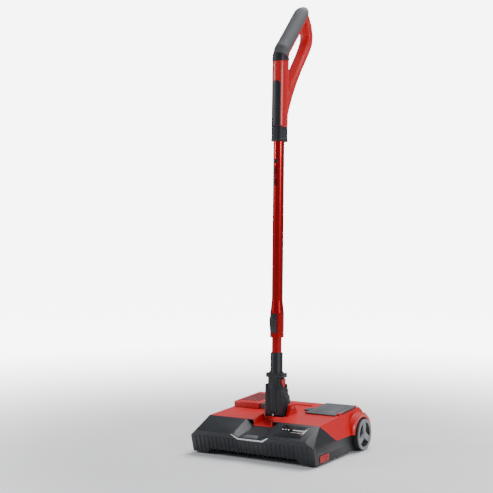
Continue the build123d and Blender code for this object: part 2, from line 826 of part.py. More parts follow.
# ---------------------------------------------------------------- wheels
hub_r = 9
rim_r = 36
spoke_w = 9
rim_face = 3
for side, hand in ((1, "right"), (-1, "left")):
    inner_x = wheel_out - wheel_w
    with BuildPart() as rim:
        with BuildSketch(Plane.YZ.offset(side * inner_x)):
            with Locations((wheel_y, wheel_r)):
                Circle(rim_r)
                Circle(rim_r - 3, mode=Mode.SUBTRACT)
                Circle(hub_r)
        extrude(amount=side * wheel_w)
        with BuildSketch(Plane.YZ.offset(side * (wheel_out - rim_face))):
            with Locations((wheel_y, wheel_r)):
                Circle(wheel_r - 1.2)
                Circle(rim_r - 5, mode=Mode.SUBTRACT)
        extrude(amount=side * rim_face)
        with BuildSketch(Plane.YZ.offset(side * (wheel_out - rim_face - 3))):
            with Locations((wheel_y, wheel_r)):
                with PolarLocations(rim_r / 2, 3, start_angle=90):
                    Trapezoid(rim_r - 4, spoke_w + 6, 86, rotation=0)
        extrude(amount=side * (rim_face + 2))
        with BuildSketch(Plane.YZ.offset(side * inner_x)):
            with Locations((wheel_y, wheel_r)):
                Circle(axle_r + run_fit)
        extrude(amount=side * (wheel_w - 4), mode=Mode.SUBTRACT)
    rim.part.label = f"wheel_rim_{hand}"
    export_step(rim.part, f"parts/wheel_rim_{hand}.step")

    with BuildPart() as tyre:
        with BuildSketch(Plane.YZ.offset(side * inner_x)):
            with Locations((wheel_y, wheel_r)):
                Circle(wheel_r)
                Circle(rim_r, mode=Mode.SUBTRACT)
        extrude(amount=side * (wheel_w - rim_face))
        with BuildSketch(Plane.YZ.offset(side * inner_x)):
            with Locations((wheel_y, wheel_r)):
                with PolarLocations(wheel_r, 40):
                    Rectangle(1.2, 1.6)
        extrude(amount=side * (wheel_w - rim_face), mode=Mode.SUBTRACT)
    tyre.part.label = f"tyre_{hand}"
    export_step(tyre.part, f"parts/tyre_{hand}.step")

    with BuildPart() as axle:
        with BuildSketch(Plane.YZ.offset(side * rail_in)):
            with Locations((wheel_y, wheel_r)):
                Circle(axle_r)
        extrude(amount=side * (wheel_out - 4.5 - rail_in))
    axle.part.label = f"axle_{hand}"
    export_step(axle.part, f"parts/axle_{hand}.step")

    with BuildPart() as front_roller:
        with BuildSketch(Plane.YZ.offset(side * (caster_x - caster_w / 2))):
            with Locations((caster_y, caster_r)):
                Circle(caster_r)
                Circle(caster_pin_r + run_fit, mode=Mode.SUBTRACT)
        extrude(amount=side * caster_w)
        chamfer(front_roller.edges().filter_by(GeomType.CIRCLE).group_by(SortBy.RADIUS)[-1], 1)
    front_roller.part.label = f"front_roller_{hand}"
    export_step(front_roller.part, f"parts/front_roller_{hand}.step")

with BuildPart() as roller_pins:
    for side in (1, -1):
        with BuildSketch(Plane.YZ.offset(side * (caster_x - caster_w / 2 - 3))):
            with Locations((caster_y, caster_r)):
                Circle(caster_pin_r)
        extrude(amount=side * (caster_w + 6))

roller_pins.part.label = "front_roller_pins"
export_step(roller_pins.part, "parts/front_roller_pins.step")

# ---------------------------------------------------------------- dust bin
bin_rear_y = rear_y
with BuildPart() as dust_bin:
    with BuildSketch(Plane.XY.offset(bin_low)):
        with Locations((0, (bin_front_y + bin_rear_y) / 2)):
            Rectangle(2 * bin_half, bin_rear_y - bin_front_y)
    extrude(amount=bin_high - bin_low)
    with BuildSketch(Plane.XY.offset(bin_low + bin_wall)):
        with Locations((0, (bin_front_y + bin_rear_y) / 2 - 8)):
            Rectangle(2 * (bin_half - bin_wall), bin_rear_y - bin_front_y - 2 * bin_wall - 16)
    extrude(amount=bin_high - bin_low, mode=Mode.SUBTRACT)
    with BuildSketch(Plane.XZ.offset(-bin_front_y + 1)):
        with Locations((0, bin_high)):
            Rectangle(2 * (bin_half - 12), 2 * (bin_high - bin_low - 14))
    extrude(amount=-bin_wall - 2, mode=Mode.SUBTRACT)
    with BuildSketch(Plane.XZ.offset(-bin_rear_y)):
        with Locations((0, bin_high - 16)):
            RectangleRounded(130, 20, 8)
    extrude(amount=12, mode=Mode.SUBTRACT)

dust_bin.part.label = "dust_bin"
export_step(dust_bin.part, "parts/dust_bin.step")

# ---------------------------------------------------------------- battery
batt_rear_y = batt_front_y + batt_len
batt_top_front = top_at(batt_front_y) + batt_rise
batt_top_rear = top_at(batt_rear_y) + batt_rise
cradle_t = 2
batt_rib = 9
rail_deep = 5
with BuildPart() as battery_pack:
    with BuildSketch(Plane.YZ.offset(batt_x - batt_w / 2)):
        with BuildLine():
            Polyline(
                (batt_front_y, batt_low), (batt_front_y, batt_top_front - 4),
                (batt_front_y + 5, batt_top_front), (batt_rear_y - 4, batt_top_rear),
                (batt_rear_y, batt_top_rear - 6), (batt_rear_y, batt_low), close=True,
            )
        make_face()
    extrude(amount=batt_w)
    fillet(battery_pack.faces().filter_by(Axis.X).edges().group_by(Axis.Z)[-1], 3)
    with BuildSketch(top_plane.offset(batt_rise)):
        with Locations((batt_x, on_top(batt_front_y) + batt_len / 2 + 4)):
            with GridLocations(batt_rib + 3.5, 0, 5, 1):
                Rectangle(3.5, batt_len - 24)
    extrude(amount=-1.5, mode=Mode.SUBTRACT)
    for side in (1, -1):
        with BuildSketch(Plane.XY.offset(batt_low)):
            with Locations((batt_x + side * batt_w / 2, (batt_front_y + batt_rear_y) / 2)):
                Rectangle(5, batt_len)
        extrude(amount=rail_deep, mode=Mode.SUBTRACT)

battery_pack.part.label = "battery_pack"
export_step(battery_pack.part, "parts/battery_pack.step")

with BuildPart() as battery_cradle:
    with BuildSketch(Plane.XY.offset(batt_low - gap - cradle_t)):
        with Locations((batt_x, (batt_front_y + rear_y) / 2 - 1)):
            Rectangle(batt_w + 2 * bay_gap - 0.4, rear_y - batt_front_y - 1)
    extrude(amount=cradle_t)
    with BuildSketch(Plane.XZ.offset(-batt_front_y + gap)):
        with Locations((batt_x, batt_low - gap - cradle_t + 11)):
            Rectangle(batt_w + 2 * bay_gap - 0.4, 22)
    extrude(amount=cradle_t)
    with BuildSketch(Plane.XY.offset(deck_top)):
        with Locations((batt_x, (batt_front_y + rear_y) / 2 - 4)):
            with GridLocations(batt_w - 20, 0, 2, 1):
                Rectangle(cradle_t, rear_y - batt_front_y - 12)
    extrude(amount=batt_low - gap - cradle_t - deck_top)

battery_cradle.part.label = "battery_cradle"
export_step(battery_cradle.part, "parts/battery_cradle.step")

with BuildPart() as battery_contacts:
    with BuildSketch(Plane.XY.offset(deck_top)):
        with Locations((batt_x, batt_front_y - gap - cradle_t - 5)):
            Rectangle(30, 10)
    extrude(amount=14)

battery_contacts.part.label = "battery_contacts"
export_step(battery_contacts.part, "parts/battery_contacts.step")

latch_travel = 3
with BuildPart() as battery_latch:
    with BuildSketch(Plane.XY.offset(top_at(latch_y) - 10)):
        with Locations((latch_x, latch_y)):
            RectangleRounded(latch_w, latch_len, 1.5)
    extrude(amount=batt_rise + 8)
    fillet(battery_latch.edges().group_by(Axis.Z)[-1], 1.2)
    with BuildSketch(Plane.XY.offset(top_at(latch_y) + batt_rise - 2)):
        with Locations((latch_x, latch_y + 3)):
            with GridLocations(0, 4, 1, 4):
                Rectangle(latch_w - 5, 1.2)
    extrude(amount=-0.8, mode=Mode.SUBTRACT)

battery_latch.part.label = "battery_latch"
export_step(battery_latch.part, "parts/battery_latch.step")

latch_low = top_at(latch_y) - 10
spring_low = deck_top + 1
with BuildPart() as latch_guide:
    with BuildSketch(Plane.XY.offset(spring_low - 1)):
        with Locations((latch_x, latch_y)):
            Rectangle(latch_w + 2, latch_len + 4)
    extrude(amount=latch_low - spring_low - latch_travel)
    with BuildSketch(Plane.XY.offset(spring_low + 1)):
        with Locations((latch_x, latch_y)):
            Rectangle(latch_w - 4, latch_len - 4)
    extrude(amount=60, mode=Mode.SUBTRACT)

latch_guide.part.label = "latch_guide"
export_step(latch_guide.part, "parts/latch_guide.step")

coil_r = 4
wire_r = 0.5
with BuildPart() as latch_spring:
    with BuildLine(Plane((latch_x, latch_y, spring_low + 1 + wire_r))) as coil:
        Helix(pitch=3, height=latch_low - spring_low - 1 - 2 * wire_r, radius=coil_r)
    with BuildSketch(Plane(origin=coil.line @ 0, z_dir=coil.line % 0)):
        Circle(wire_r)
    sweep()

latch_spring.part.label = "latch_spring"
export_step(latch_spring.part, "parts/latch_spring.step")

# ---------------------------------------------------------------- storage tray and lid
tray_wall = 1.6
tray_half_w = (lid_w - 6) / 2 - 0.3
tray_half_l = (lid_len - 6) / 2 - 0.3
lid_mid = on_top(lid_front_y) + lid_len / 2
hinge_plane = Plane(top_plane.origin, x_dir=(1, 0, 0), z_dir=-top_plane.y_dir)
with BuildPart() as storage_tray:
    with BuildSketch(top_plane.offset(-wall - tray_deep)):
        with Locations((lid_x, lid_mid)):
            Rectangle(2 * tray_half_w, 2 * tray_half_l)
    extrude(amount=tray_deep + wall)
    with BuildSketch(top_plane.offset(-wall - tray_deep + tray_wall)):
        with Locations((lid_x, lid_mid)):
            RectangleRounded(2 * (tray_half_w - tray_wall), 2 * (tray_half_l - tray_wall), 4)
    extrude(amount=tray_deep + wall, mode=Mode.SUBTRACT)

storage_tray.part.label = "storage_tray"
export_step(storage_tray.part, "parts/storage_tray.step")

lid_gap = 0.5
knuckle_gap = 0.4
with BuildPart() as tray_lid:
    with BuildSketch(top_plane.offset(lid_gap)):
        with Locations((lid_x, lid_mid)):
            RectangleRounded(lid_w, lid_len, 3)
    extrude(amount=lid_t)
    chamfer(tray_lid.faces().sort_by(Axis.Z)[-1].outer_wire().edges(), 0.8)
    with BuildSketch(top_plane.offset(lid_gap + lid_t)):
        with Locations((lid_x, lid_mid)):
            Rectangle(lid_w - 24, lid_len - 26)
            Rectangle(lid_w - 28, lid_len - 30, mode=Mode.SUBTRACT)
    extrude(amount=-0.7, mode=Mode.SUBTRACT)
    with BuildSketch(hinge_plane.offset(-on_top(lid_front_y) - knuckle_ys[0] - knuckle_len / 2 - knuckle_gap)):
        with Locations((hinge_x + 2, hinge_h)):
            Circle(hinge_r + 1.4)
        with Locations((hinge_x - 1, lid_gap + lid_t / 2 + 0.4)):
            Rectangle(7, lid_t - 0.8)
    extrude(amount=-(knuckle_ys[1] - knuckle_ys[0] - knuckle_len - 2 * knuckle_gap))
    with BuildSketch(hinge_plane):
        with Locations((hinge_x + 2, hinge_h)):
            Circle(hinge_r + run_fit)
    extrude(amount=-top_run, mode=Mode.SUBTRACT)

tray_lid.part.label = "tray_lid"
export_step(tray_lid.part, "parts/tray_lid.step")

with BuildPart() as lid_hinge_pin:
    with BuildSketch(hinge_plane.offset(-on_top(lid_front_y) - knuckle_ys[0] + knuckle_len / 2)):
        with Locations((hinge_x + 2, hinge_h)):
            Circle(hinge_r)
    extrude(amount=-(knuckle_ys[1] - knuckle_ys[0] + knuckle_len))

lid_hinge_pin.part.label = "lid_hinge_pin"
export_step(lid_hinge_pin.part, "parts/lid_hinge_pin.step")

with BuildPart() as lid_latch:
    with BuildSketch(top_plane.offset(gap)):
        with Locations((lid_latch_x, on_top(lid_latch_y))):
            RectangleRounded(lid_latch_w - lid_latch_travel, lid_latch_len, 1.5)
    extrude(amount=lid_t - 0.2)
    with BuildSketch(top_plane.offset(-wall - 2.5)):
        with Locations((lid_latch_x, on_top(lid_latch_y))):
            Rectangle(lid_latch_w - 6 - 2 * lid_latch_travel, lid_latch_len - 9)
    extrude(amount=wall + 3)
    with BuildSketch(top_plane.offset(lid_t + 0.2)):
        with Locations((lid_latch_x, on_top(lid_latch_y))):
            with GridLocations(3.2, 0, 3, 1):
                Rectangle(1.2, lid_latch_len - 7)
    extrude(amount=-0.7, mode=Mode.SUBTRACT)

lid_latch.part.label = "lid_latch"
export_step(lid_latch.part, "parts/lid_latch.step")

# ---------------------------------------------------------------- inside the head
with BuildPart() as control_board:
    with BuildSketch(Plane.XY.offset(deck_top)):
        with Locations((0, motor_y - 26)):
            Rectangle(90, 20)
    extrude(amount=board_t)
    with BuildSketch(Plane.XY.offset(deck_top + board_t)):
        with GridLocations(22, 0, 4, 1):
            with Locations((0, motor_y - 26)):
                Rectangle(12, 10)
    extrude(amount=4)

control_board.part.label = "control_board"
export_step(control_board.part, "parts/control_board.step")

with BuildPart() as tilt_switch:
    with BuildSketch(Plane.XY.offset(deck_top)):
        with Locations((0, pivot_y)):
            Rectangle(20, 10)
    extrude(amount=8)

tilt_switch.part.label = "tilt_switch"
export_step(tilt_switch.part, "parts/tilt_switch.step")

with BuildPart() as belt_cover:
    with BuildSketch(Plane.YZ.offset(-pulley_x - pulley_w / 2 - 1)):
        with BuildSketch(mode=Mode.PRIVATE) as cover_ends:
            with Locations((roller_y, roller_z)):
                Circle(roller_pulley_r + 4)
            with Locations((motor_y, motor_z)):
                Circle(motor_pulley_r + 2.4)
        make_hull(cover_ends.edges())
    extrude(amount=-1.2)

belt_cover.part.label = "belt_cover"
export_step(belt_cover.part, "parts/belt_cover.step")

head_t = 1.8
with BuildPart() as housing_screws:
    for x in (-boss_x, boss_x):
        for d in (165, 205):
            with BuildSketch(Plane.XY.offset(pan_z - head_t)):
                with Locations((x, nose_y + d)):
                    Circle(head_r)
            extrude(amount=head_t)
            with BuildSketch(Plane.XY.offset(pan_z)):
                with Locations((x, nose_y + d)):
                    Circle(screw_r)
            extrude(amount=shoulder_z + screw_bite - pan_z)
    for x in (-cover_post_x, cover_post_x):
        with BuildSketch(Plane.XY.offset(roller_z + tunnel_r + 0.2)):
            with Locations((x, roller_y)):
                Circle(screw_r)
        extrude(amount=22)

housing_screws.part.label = "housing_screws"
export_step(housing_screws.part, "parts/housing_screws.step")

# ---------------------------------------------------------------- yoke
yoke_front = tube_y - yoke_deep / 2
yoke_rear = tube_y + yoke_deep / 2
yoke_gap = 0.3
tongue_half = 10.5
tongue_low = 107
tongue_t = 3
groove = 0.8
socket_low = 146
button_half = 9
button_low = 163
button_high = 184
button_out = 4              # how far the release button stands out of the socket
button_in = 14
with BuildPart() as yoke:
    with BuildSketch(Plane.YZ.offset(-yoke_half)):
        with BuildLine():
            Polyline(
                (yoke_front + 4, yoke_low), (yoke_front, yoke_low + 6), (yoke_front, yoke_top),
                (yoke_rear, yoke_top), (yoke_rear, yoke_top - 12), (pivot_y + 7, yoke_top - 20),
                (pivot_y + 9, pivot_z + 14), (pivot_y + 9, pivot_z), (pivot_y, pivot_z - 11),
                (pivot_y - 12, yoke_low), close=True,
            )
        make_face()
        with Locations((pivot_y, pivot_z)):
            Circle(ear_r)
    extrude(amount=2 * yoke_half)
    chamfer(yoke.edges().filter_by(Axis.Z).group_by(Axis.Y)[0], 3)
    with BuildSketch(Plane.YZ.offset(-ear_in + yoke_gap)):
        with Locations((pivot_y, pivot_z)):
            Circle(ear_r - 1)
    extrude(amount=2 * (ear_in - yoke_gap))
    for side in (1, -1):
        with BuildSketch(Plane.XY.offset(yoke_top - 1)):
            with Locations((side * (yoke_half + socket_half + 0.3) / 2, tube_y)):
                Rectangle(yoke_half - socket_half - 0.3, yoke_deep - 8)
        extrude(amount=cheek_top - yoke_top + 1)
    with BuildSketch(tube_plane.offset(socket_low)):
        RectangleRounded(2 * socket_half, socket_deep, 5)
    extrude(amount=60, mode=Mode.SUBTRACT)
    with BuildSketch(Plane.XZ.offset(-yoke_front)):
        with Locations((0, (tongue_low + yoke_top + 2) / 2)):
            Rectangle(2 * (tongue_half + groove), yoke_top + 2 - tongue_low)
        with Locations((0, tongue_low)):
            Circle(tongue_half + groove)
    extrude(amount=-tongue_t, mode=Mode.SUBTRACT)
    with BuildSketch(Plane.YZ.offset(-ear_in)):
        with Locations((pivot_y, pivot_z)):
            Circle(pivot_r + run_fit)
    extrude(amount=2 * ear_in, mode=Mode.SUBTRACT)
    with BuildSketch(Plane.XZ.offset(-yoke_front)):
        with Locations((0, yoke_low + 5)):
            Circle(screw_r)
    extrude(amount=-16, mode=Mode.SUBTRACT)
    with BuildSketch(tube_side.offset(button_in - 1)):
        with Locations((0, button_low + 20 - gap)):
            Rectangle(2 * (button_half + gap), 40)
    extrude(amount=20, mode=Mode.SUBTRACT)

yoke.part.label = "yoke"
export_step(yoke.part, "parts/yoke.step")

with BuildPart() as pivot_pin:
    with BuildSketch(Plane.YZ.offset(-ear_in - ear_t - 0.5)):
        with Locations((pivot_y, pivot_z)):
            Circle(pivot_r)
    extrude(amount=2 * (ear_in + ear_t + 0.5))

pivot_pin.part.label = "pivot_pin"
export_step(pivot_pin.part, "parts/pivot_pin.step")

with BuildPart() as yoke_screw:
    with BuildSketch(Plane.XZ.offset(-yoke_front)):
        with Locations((0, yoke_low + 5)):
            Circle(head_r)
    extrude(amount=1.6)
    with BuildSketch(Plane.XZ.offset(-yoke_front)):
        with Locations((0, yoke_low + 5)):
            Circle(screw_r)
    extrude(amount=-14)

yoke_screw.part.label = "yoke_screw"
export_step(yoke_screw.part, "parts/yoke_screw.step")

# ---------------------------------------------------------------- tube socket
with BuildPart() as tube_socket:
    with BuildSketch(tube_plane.offset(socket_low)):
        RectangleRounded(2 * socket_half, socket_deep, 5)
        Circle(spigot_r + 0.2, mode=Mode.SUBTRACT)
    extrude(amount=socket_top - socket_low)
    with BuildSketch(Plane.XZ.offset(-yoke_front)):
        with Locations((0, (tongue_low + yoke_top) / 2)):
            Rectangle(2 * tongue_half, yoke_top - tongue_low)
        with Locations((0, tongue_low)):
            Circle(tongue_half)
    extrude(amount=-tongue_t)
    with BuildSketch(Plane.XZ.offset(-yoke_front)):
        with Locations((0, yoke_top + 2)):
            Rectangle(2 * tongue_half, 20)
    extrude(amount=-tongue_t)
    with BuildSketch(tube_side.offset(button_in - 0.5)):
        with Locations((0, (button_low + button_high) / 2)):
            Rectangle(2 * (button_half + gap), button_high - button_low + 2 * gap)
    extrude(amount=10, mode=Mode.SUBTRACT)

tube_socket.part.label = "tube_socket"
export_step(tube_socket.part, "parts/tube_socket.step")

button_travel = 2
with BuildPart() as release_button:
    with BuildSketch(tube_side.offset(button_in + button_travel)):
        with Locations((0, (button_low + button_high) / 2)):
            RectangleRounded(2 * button_half, button_high - button_low, 2)
    extrude(amount=socket_half + button_out - button_in - button_travel)
    fillet(release_button.faces().sort_by(Axis.X)[-1].edges(), 1)

release_button.part.label = "release_button"
export_step(release_button.part, "parts/release_button.step")

# ---------------------------------------------------------------- tube foot
flange_half = 25
flange_deep = 32
foot_spigot = 34            # length of the spigot inside the socket
with BuildPart() as tube_foot:
    with BuildSketch(tube_plane.offset(socket_top + 0.3)):
        RectangleRounded(2 * flange_half, flange_deep, 8)
    extrude(amount=flange_h * 0.8)
    with BuildSketch(tube_plane.offset(socket_top + 0.3)):
        Circle(sleeve_r)
    extrude(amount=sleeve_top - socket_top - 0.3)
    with BuildSketch(tube_plane.offset(socket_top + 0.3 - foot_spigot)):
        Circle(spigot_r)
    extrude(amount=foot_spigot)
    with BuildSketch(tube_plane.offset(socket_top + 8)):
        Circle(lower_tube_r)
    extrude(amount=100, mode=Mode.SUBTRACT)
    for side in (1, -1):
        with BuildSketch(Plane(tube_plane.offset(socket_top + 5).origin, x_dir=(1, 0, 0), z_dir=-tube_plane.y_dir)):
            with BuildLine():
                Polyline(
                    (side * (sleeve_r - 1), 0), (side * (flange_half - 1), 0), (side * (flange_half - 1), 3),
                    (side * (sleeve_r - 1), flange_h), close=True,
                )
            make_face()
        extrude(amount=3, both=True)

tube_foot.part.label = "tube_foot"
export_step(tube_foot.part, "parts/tube_foot.step")

with BuildPart() as lower_tube:
    with BuildSketch(tube_plane.offset(socket_top + 8)):
        Circle(lower_tube_r)
        Circle(lower_tube_r - tube_wall, mode=Mode.SUBTRACT)
    extrude(amount=lower_tube_top - socket_top - 8)

lower_tube.part.label = "lower_tube"
export_step(lower_tube.part, "parts/lower_tube.step")

# ---------------------------------------------------------------- upper tube
clamp_half = 8.5
clamp_low = 299
clamp_high = 347
clamp_out = 7.5
clamp_travel = 2
slide_fit = 0.3
with BuildPart() as upper_tube:
    with BuildSketch(tube_side):
        with BuildLine():
            Polyline(
                (0, bell_low), (bell_r, bell_low), (bell_r, bell_top), (upper_tube_r, bell_taper),
                (upper_tube_r, upper_tube_top), (0, upper_tube_top), close=True,
            )
        make_face()
    revolve(axis=Axis(tube_plane.origin, tube_plane.z_dir))
    with BuildSketch(tube_side):
        with BuildLine():
            Polyline(
                (0, bell_low - 1), (bell_r - tube_wall, bell_low - 1), (bell_r - tube_wall, bell_top - 1),
                (lower_tube_r + slide_fit, bell_taper - 4), (lower_tube_r + slide_fit, upper_tube_top + 1),
                (0, upper_tube_top + 1), close=True,
            )
        make_face()
    revolve(axis=Axis(tube_plane.origin, tube_plane.z_dir), mode=Mode.SUBTRACT)
    with BuildSketch(Plane(tube_plane.origin, x_dir=(1, 0, 0), z_dir=-tube_plane.y_dir)):
        with Locations((0, (clamp_low + clamp_high) / 2)):
            Rectangle(2 * (clamp_half + gap), clamp_high - clamp_low + 2 * gap)
    extrude(amount=40, mode=Mode.SUBTRACT)

upper_tube.part.label = "upper_tube"
export_step(upper_tube.part, "parts/upper_tube.step")

with BuildPart() as tube_bush:
    with BuildSketch(tube_plane.offset(bell_low + 1)):
        Circle(bell_r - tube_wall)
        Circle(lower_tube_r + 0.1, mode=Mode.SUBTRACT)
    extrude(amount=bell_top - bell_low - 3)
    with BuildSketch(Plane(tube_plane.origin, x_dir=(1, 0, 0), z_dir=-tube_plane.y_dir)):
        with Locations((0, (clamp_low + clamp_high) / 2)):
            Rectangle(2 * (clamp_half + gap), clamp_high - clamp_low + 2 * gap)
    extrude(amount=40, mode=Mode.SUBTRACT)

tube_bush.part.label = "tube_bush"
export_step(tube_bush.part, "parts/tube_bush.step")

clamp_in = lower_tube_r + 0.5 + clamp_travel
with BuildPart() as clamp_button:
    with BuildSketch(tube_side.offset(-clamp_half)):
        with BuildLine():
            Polyline(
                (-clamp_in, clamp_low), (-bell_r - 2, clamp_low), (-bell_r - clamp_out + 2, clamp_low + 14),
                (-bell_r - clamp_out, clamp_high - 14), (-bell_r - 1, clamp_high), (-clamp_in, clamp_high),
                close=True,
            )
        make_face()
    extrude(amount=2 * clamp_half)
    fillet(clamp_button.edges().group_by(Axis.Y)[0], 1.5)

clamp_button.part.label = "clamp_button"
export_step(clamp_button.part, "parts/clamp_button.step")

# ---------------------------------------------------------------- handle
column_mid = (column_front + column_rear) / 2
column_deep = column_rear - column_front
with BuildPart() as handle_collar:
    with BuildSketch(tube_plane.offset(collar_low)):
        with Locations((0, column_mid)):
            RectangleRounded(2 * column_half, column_deep - 3, 13)
        Circle(upper_tube_r, mode=Mode.SUBTRACT)
    extrude(amount=collar_top - collar_low)
    with BuildSketch(tube_plane.offset(collar_low)):
        with Locations((0, column_mid)):
            RectangleRounded(2 * column_half + 2, column_deep - 1, 14)
            RectangleRounded(2 * column_half - 1, column_deep - 4, 13, mode=Mode.SUBTRACT)
    extrude(amount=5)

handle_collar.part.label = "handle_collar"
export_step(handle_collar.part, "parts/handle_collar.step")

grip_low = (2, 1006)        # ends of the grip's centre line: behind the tube axis, height
grip_high = (116, 1140)
grip_run = (grip_high[0] - grip_low[0], grip_high[1] - grip_low[1])
grip_len = hypot(*grip_run)
grip_dir = (grip_run[0] / grip_len, grip_run[1] / grip_len)


def beside(point, off, along=0):
    """A point off to the front side of the grip's centre line."""
    return (
        point[0] - off * grip_dir[1] + along * grip_dir[0],
        point[1] + off * grip_dir[0] + along * grip_dir[1],
    )


grip_outline = [
    (column_front + 2, collar_top), (column_front, 860), (column_front, 1004),
    beside(grip_low, grip_half, 6), beside(grip_high, grip_half, -4), beside(grip_high, grip_half - 6, 12),
    beside(grip_high, 0, 17), (137, 1148), (151, 1082), (149, 1066), (122, 1022), (76, 960),
    (38, 896), (28, 860), (column_rear, collar_top),
]
grip_hole = [
    (32, 966), (30, 986), beside(grip_low, -grip_half, 24), beside(grip_high, -grip_half, -22),
    (120, 1094), (126, 1070), (98, 1024),
]
pad_outline = [
    beside(grip_low, grip_half, -2), beside(grip_high, grip_half, -4),
    beside(grip_high, grip_half - 6, 12), beside(grip_high, 0, 17), beside(grip_high, 0, 17 - pad_t),
    beside(grip_high, grip_half - 6 - pad_t, 12 - pad_t), beside(grip_high, grip_half - pad_t, -6),
    beside(grip_low, grip_half - pad_t, 1),
]


def handle_form(inset):
    """The handle's closed outer form, moved inwards by inset."""
    with BuildPart() as form:
        with BuildSketch(tube_side):
            with BuildLine():
                Polyline(*grip_outline, close=True)
            make_face()
            with BuildLine():
                Polyline(*grip_hole, close=True)
            make_face(mode=Mode.SUBTRACT)
            fillet(vertices(), 5)
            if inset:
                offset(amount=-inset, kind=Kind.INTERSECTION)
        extrude(amount=column_half - inset, both=True)
        if not inset:
            fillet(form.faces().sort_by(Axis.X)[-1].edges(), 5)
            fillet(form.faces().sort_by(Axis.X)[0].edges(), 5)
    return form.part


with BuildPart() as grip_pad:
    with BuildSketch(tube_side):
        with BuildLine():
            Polyline(*pad_outline, close=True)
        make_face()
    extrude(amount=column_half, both=True)
    add(handle_form(0), mode=Mode.INTERSECT)

grip_pad.part.label = "grip_pad"
export_step(grip_pad.part, "parts/grip_pad.step")

with BuildPart() as front_inlay:
    with BuildSketch(Plane(tube_plane.origin, x_dir=(1, 0, 0), z_dir=-tube_plane.y_dir)):
        with Locations((0, (collar_top + inlay_top - inlay_half) / 2)):
            Rectangle(2 * inlay_half, inlay_top - inlay_half - collar_top)
        with Locations((0, inlay_top - inlay_half)):
            Circle(inlay_half)
    extrude(amount=60)
    add(handle_form(0), mode=Mode.INTERSECT)
    with BuildSketch(tube_plane.offset(collar_top)):
        with Locations((0, 40 + column_front + inlay_t)):
            Rectangle(80, 80)
    extrude(amount=200, mode=Mode.SUBTRACT)

front_inlay.part.label = "front_inlay"
export_step(front_inlay.part, "parts/front_inlay.step")

handle_posts = ((8, 930), (52, 1065), (80, 990), (138, 1068))
handle_shells = handle_form(0) - handle_form(handle_wall) - grip_pad.part - front_inlay.part
for side, hand in ((1, "right"), (-1, "left")):
    with BuildPart() as handle_half:
        add(handle_shells)
        with BuildSketch(tube_side):
            with Locations((0, 970)):
                Rectangle(600, 600)
        extrude(amount=-side * 60, mode=Mode.SUBTRACT)
        with BuildSketch(tube_plane.offset(collar_top)):
            Circle(upper_tube_r)
        extrude(amount=upper_tube_top - collar_top, mode=Mode.SUBTRACT)
        with BuildSketch(tube_side):
            with Locations(*handle_posts):
                Circle(3.2)
                Circle(1.2, mode=Mode.SUBTRACT)
        extrude(amount=side * (column_half - 1))
    handle_half.part.label = f"handle_{hand}"
    export_step(handle_half.part, f"parts/handle_{hand}.step")

with BuildPart() as handle_screws:
    for point in handle_posts:
        with BuildSketch(tube_side.offset(-column_half + 4)):
            with Locations(point):
                Circle(1.2)
        extrude(amount=2 * column_half - 8)

handle_screws.part.label = "handle_screws"
export_step(handle_screws.part, "parts/handle_screws.step")
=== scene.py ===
import json
import math

import bpy
from mathutils import Matrix, Vector


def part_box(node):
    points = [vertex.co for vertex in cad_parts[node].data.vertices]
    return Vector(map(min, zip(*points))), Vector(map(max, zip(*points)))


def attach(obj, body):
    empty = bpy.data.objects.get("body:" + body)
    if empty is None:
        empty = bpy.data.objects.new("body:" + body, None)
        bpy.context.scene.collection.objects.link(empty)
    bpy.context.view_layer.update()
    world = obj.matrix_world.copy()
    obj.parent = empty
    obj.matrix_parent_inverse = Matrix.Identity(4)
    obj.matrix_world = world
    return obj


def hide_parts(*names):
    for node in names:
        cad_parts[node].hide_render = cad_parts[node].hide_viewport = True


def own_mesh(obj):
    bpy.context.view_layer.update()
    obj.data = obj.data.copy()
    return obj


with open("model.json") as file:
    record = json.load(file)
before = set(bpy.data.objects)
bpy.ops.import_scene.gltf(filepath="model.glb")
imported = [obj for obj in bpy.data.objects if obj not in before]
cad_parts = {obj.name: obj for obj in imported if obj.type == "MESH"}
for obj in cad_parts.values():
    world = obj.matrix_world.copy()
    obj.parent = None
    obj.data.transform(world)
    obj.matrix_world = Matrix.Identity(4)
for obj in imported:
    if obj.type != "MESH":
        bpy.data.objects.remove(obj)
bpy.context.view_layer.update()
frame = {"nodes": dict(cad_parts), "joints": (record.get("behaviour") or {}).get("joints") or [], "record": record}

record = frame["record"]
nodes = frame["nodes"]
bodyOf = {node: body for body, members in record["behaviour"]["bodies"].items() for node in members}
slotOf = {part["node"]: part["material_slot"] for part in record["subparts"]}
print("frame loaded:", len(nodes), "nodes")


# camera and light

cameraView = {
    "azimuth": 32.07, "elevation": -0.395, "roll": -0.196,   # degrees, azimuth 0 looks along +Y
    "target": (-0.0047, -0.156, 0.5159),   # metres
    "distance": 2.2656,
    "lens": 68.67,
    "sensor": 36,
}
spin = Matrix.Rotation(math.radians(cameraView["azimuth"]), 4, "Z")
tip = Matrix.Rotation(math.radians(90 - cameraView["elevation"]), 4, "X")
roll = Matrix.Rotation(math.radians(cameraView["roll"]), 4, "Z")
turn = spin @ tip @ roll
bpy.ops.object.camera_add()
camera = bpy.context.object
camera.name = "viewCamera"
camera.data.lens = cameraView["lens"]
camera.data.sensor_width = cameraView["sensor"]
camera.matrix_world = Matrix.Translation(
    Vector(cameraView["target"]) + turn.to_3x3() @ Vector((0, 0, cameraView["distance"]))
) @ turn
bpy.context.scene.camera = camera

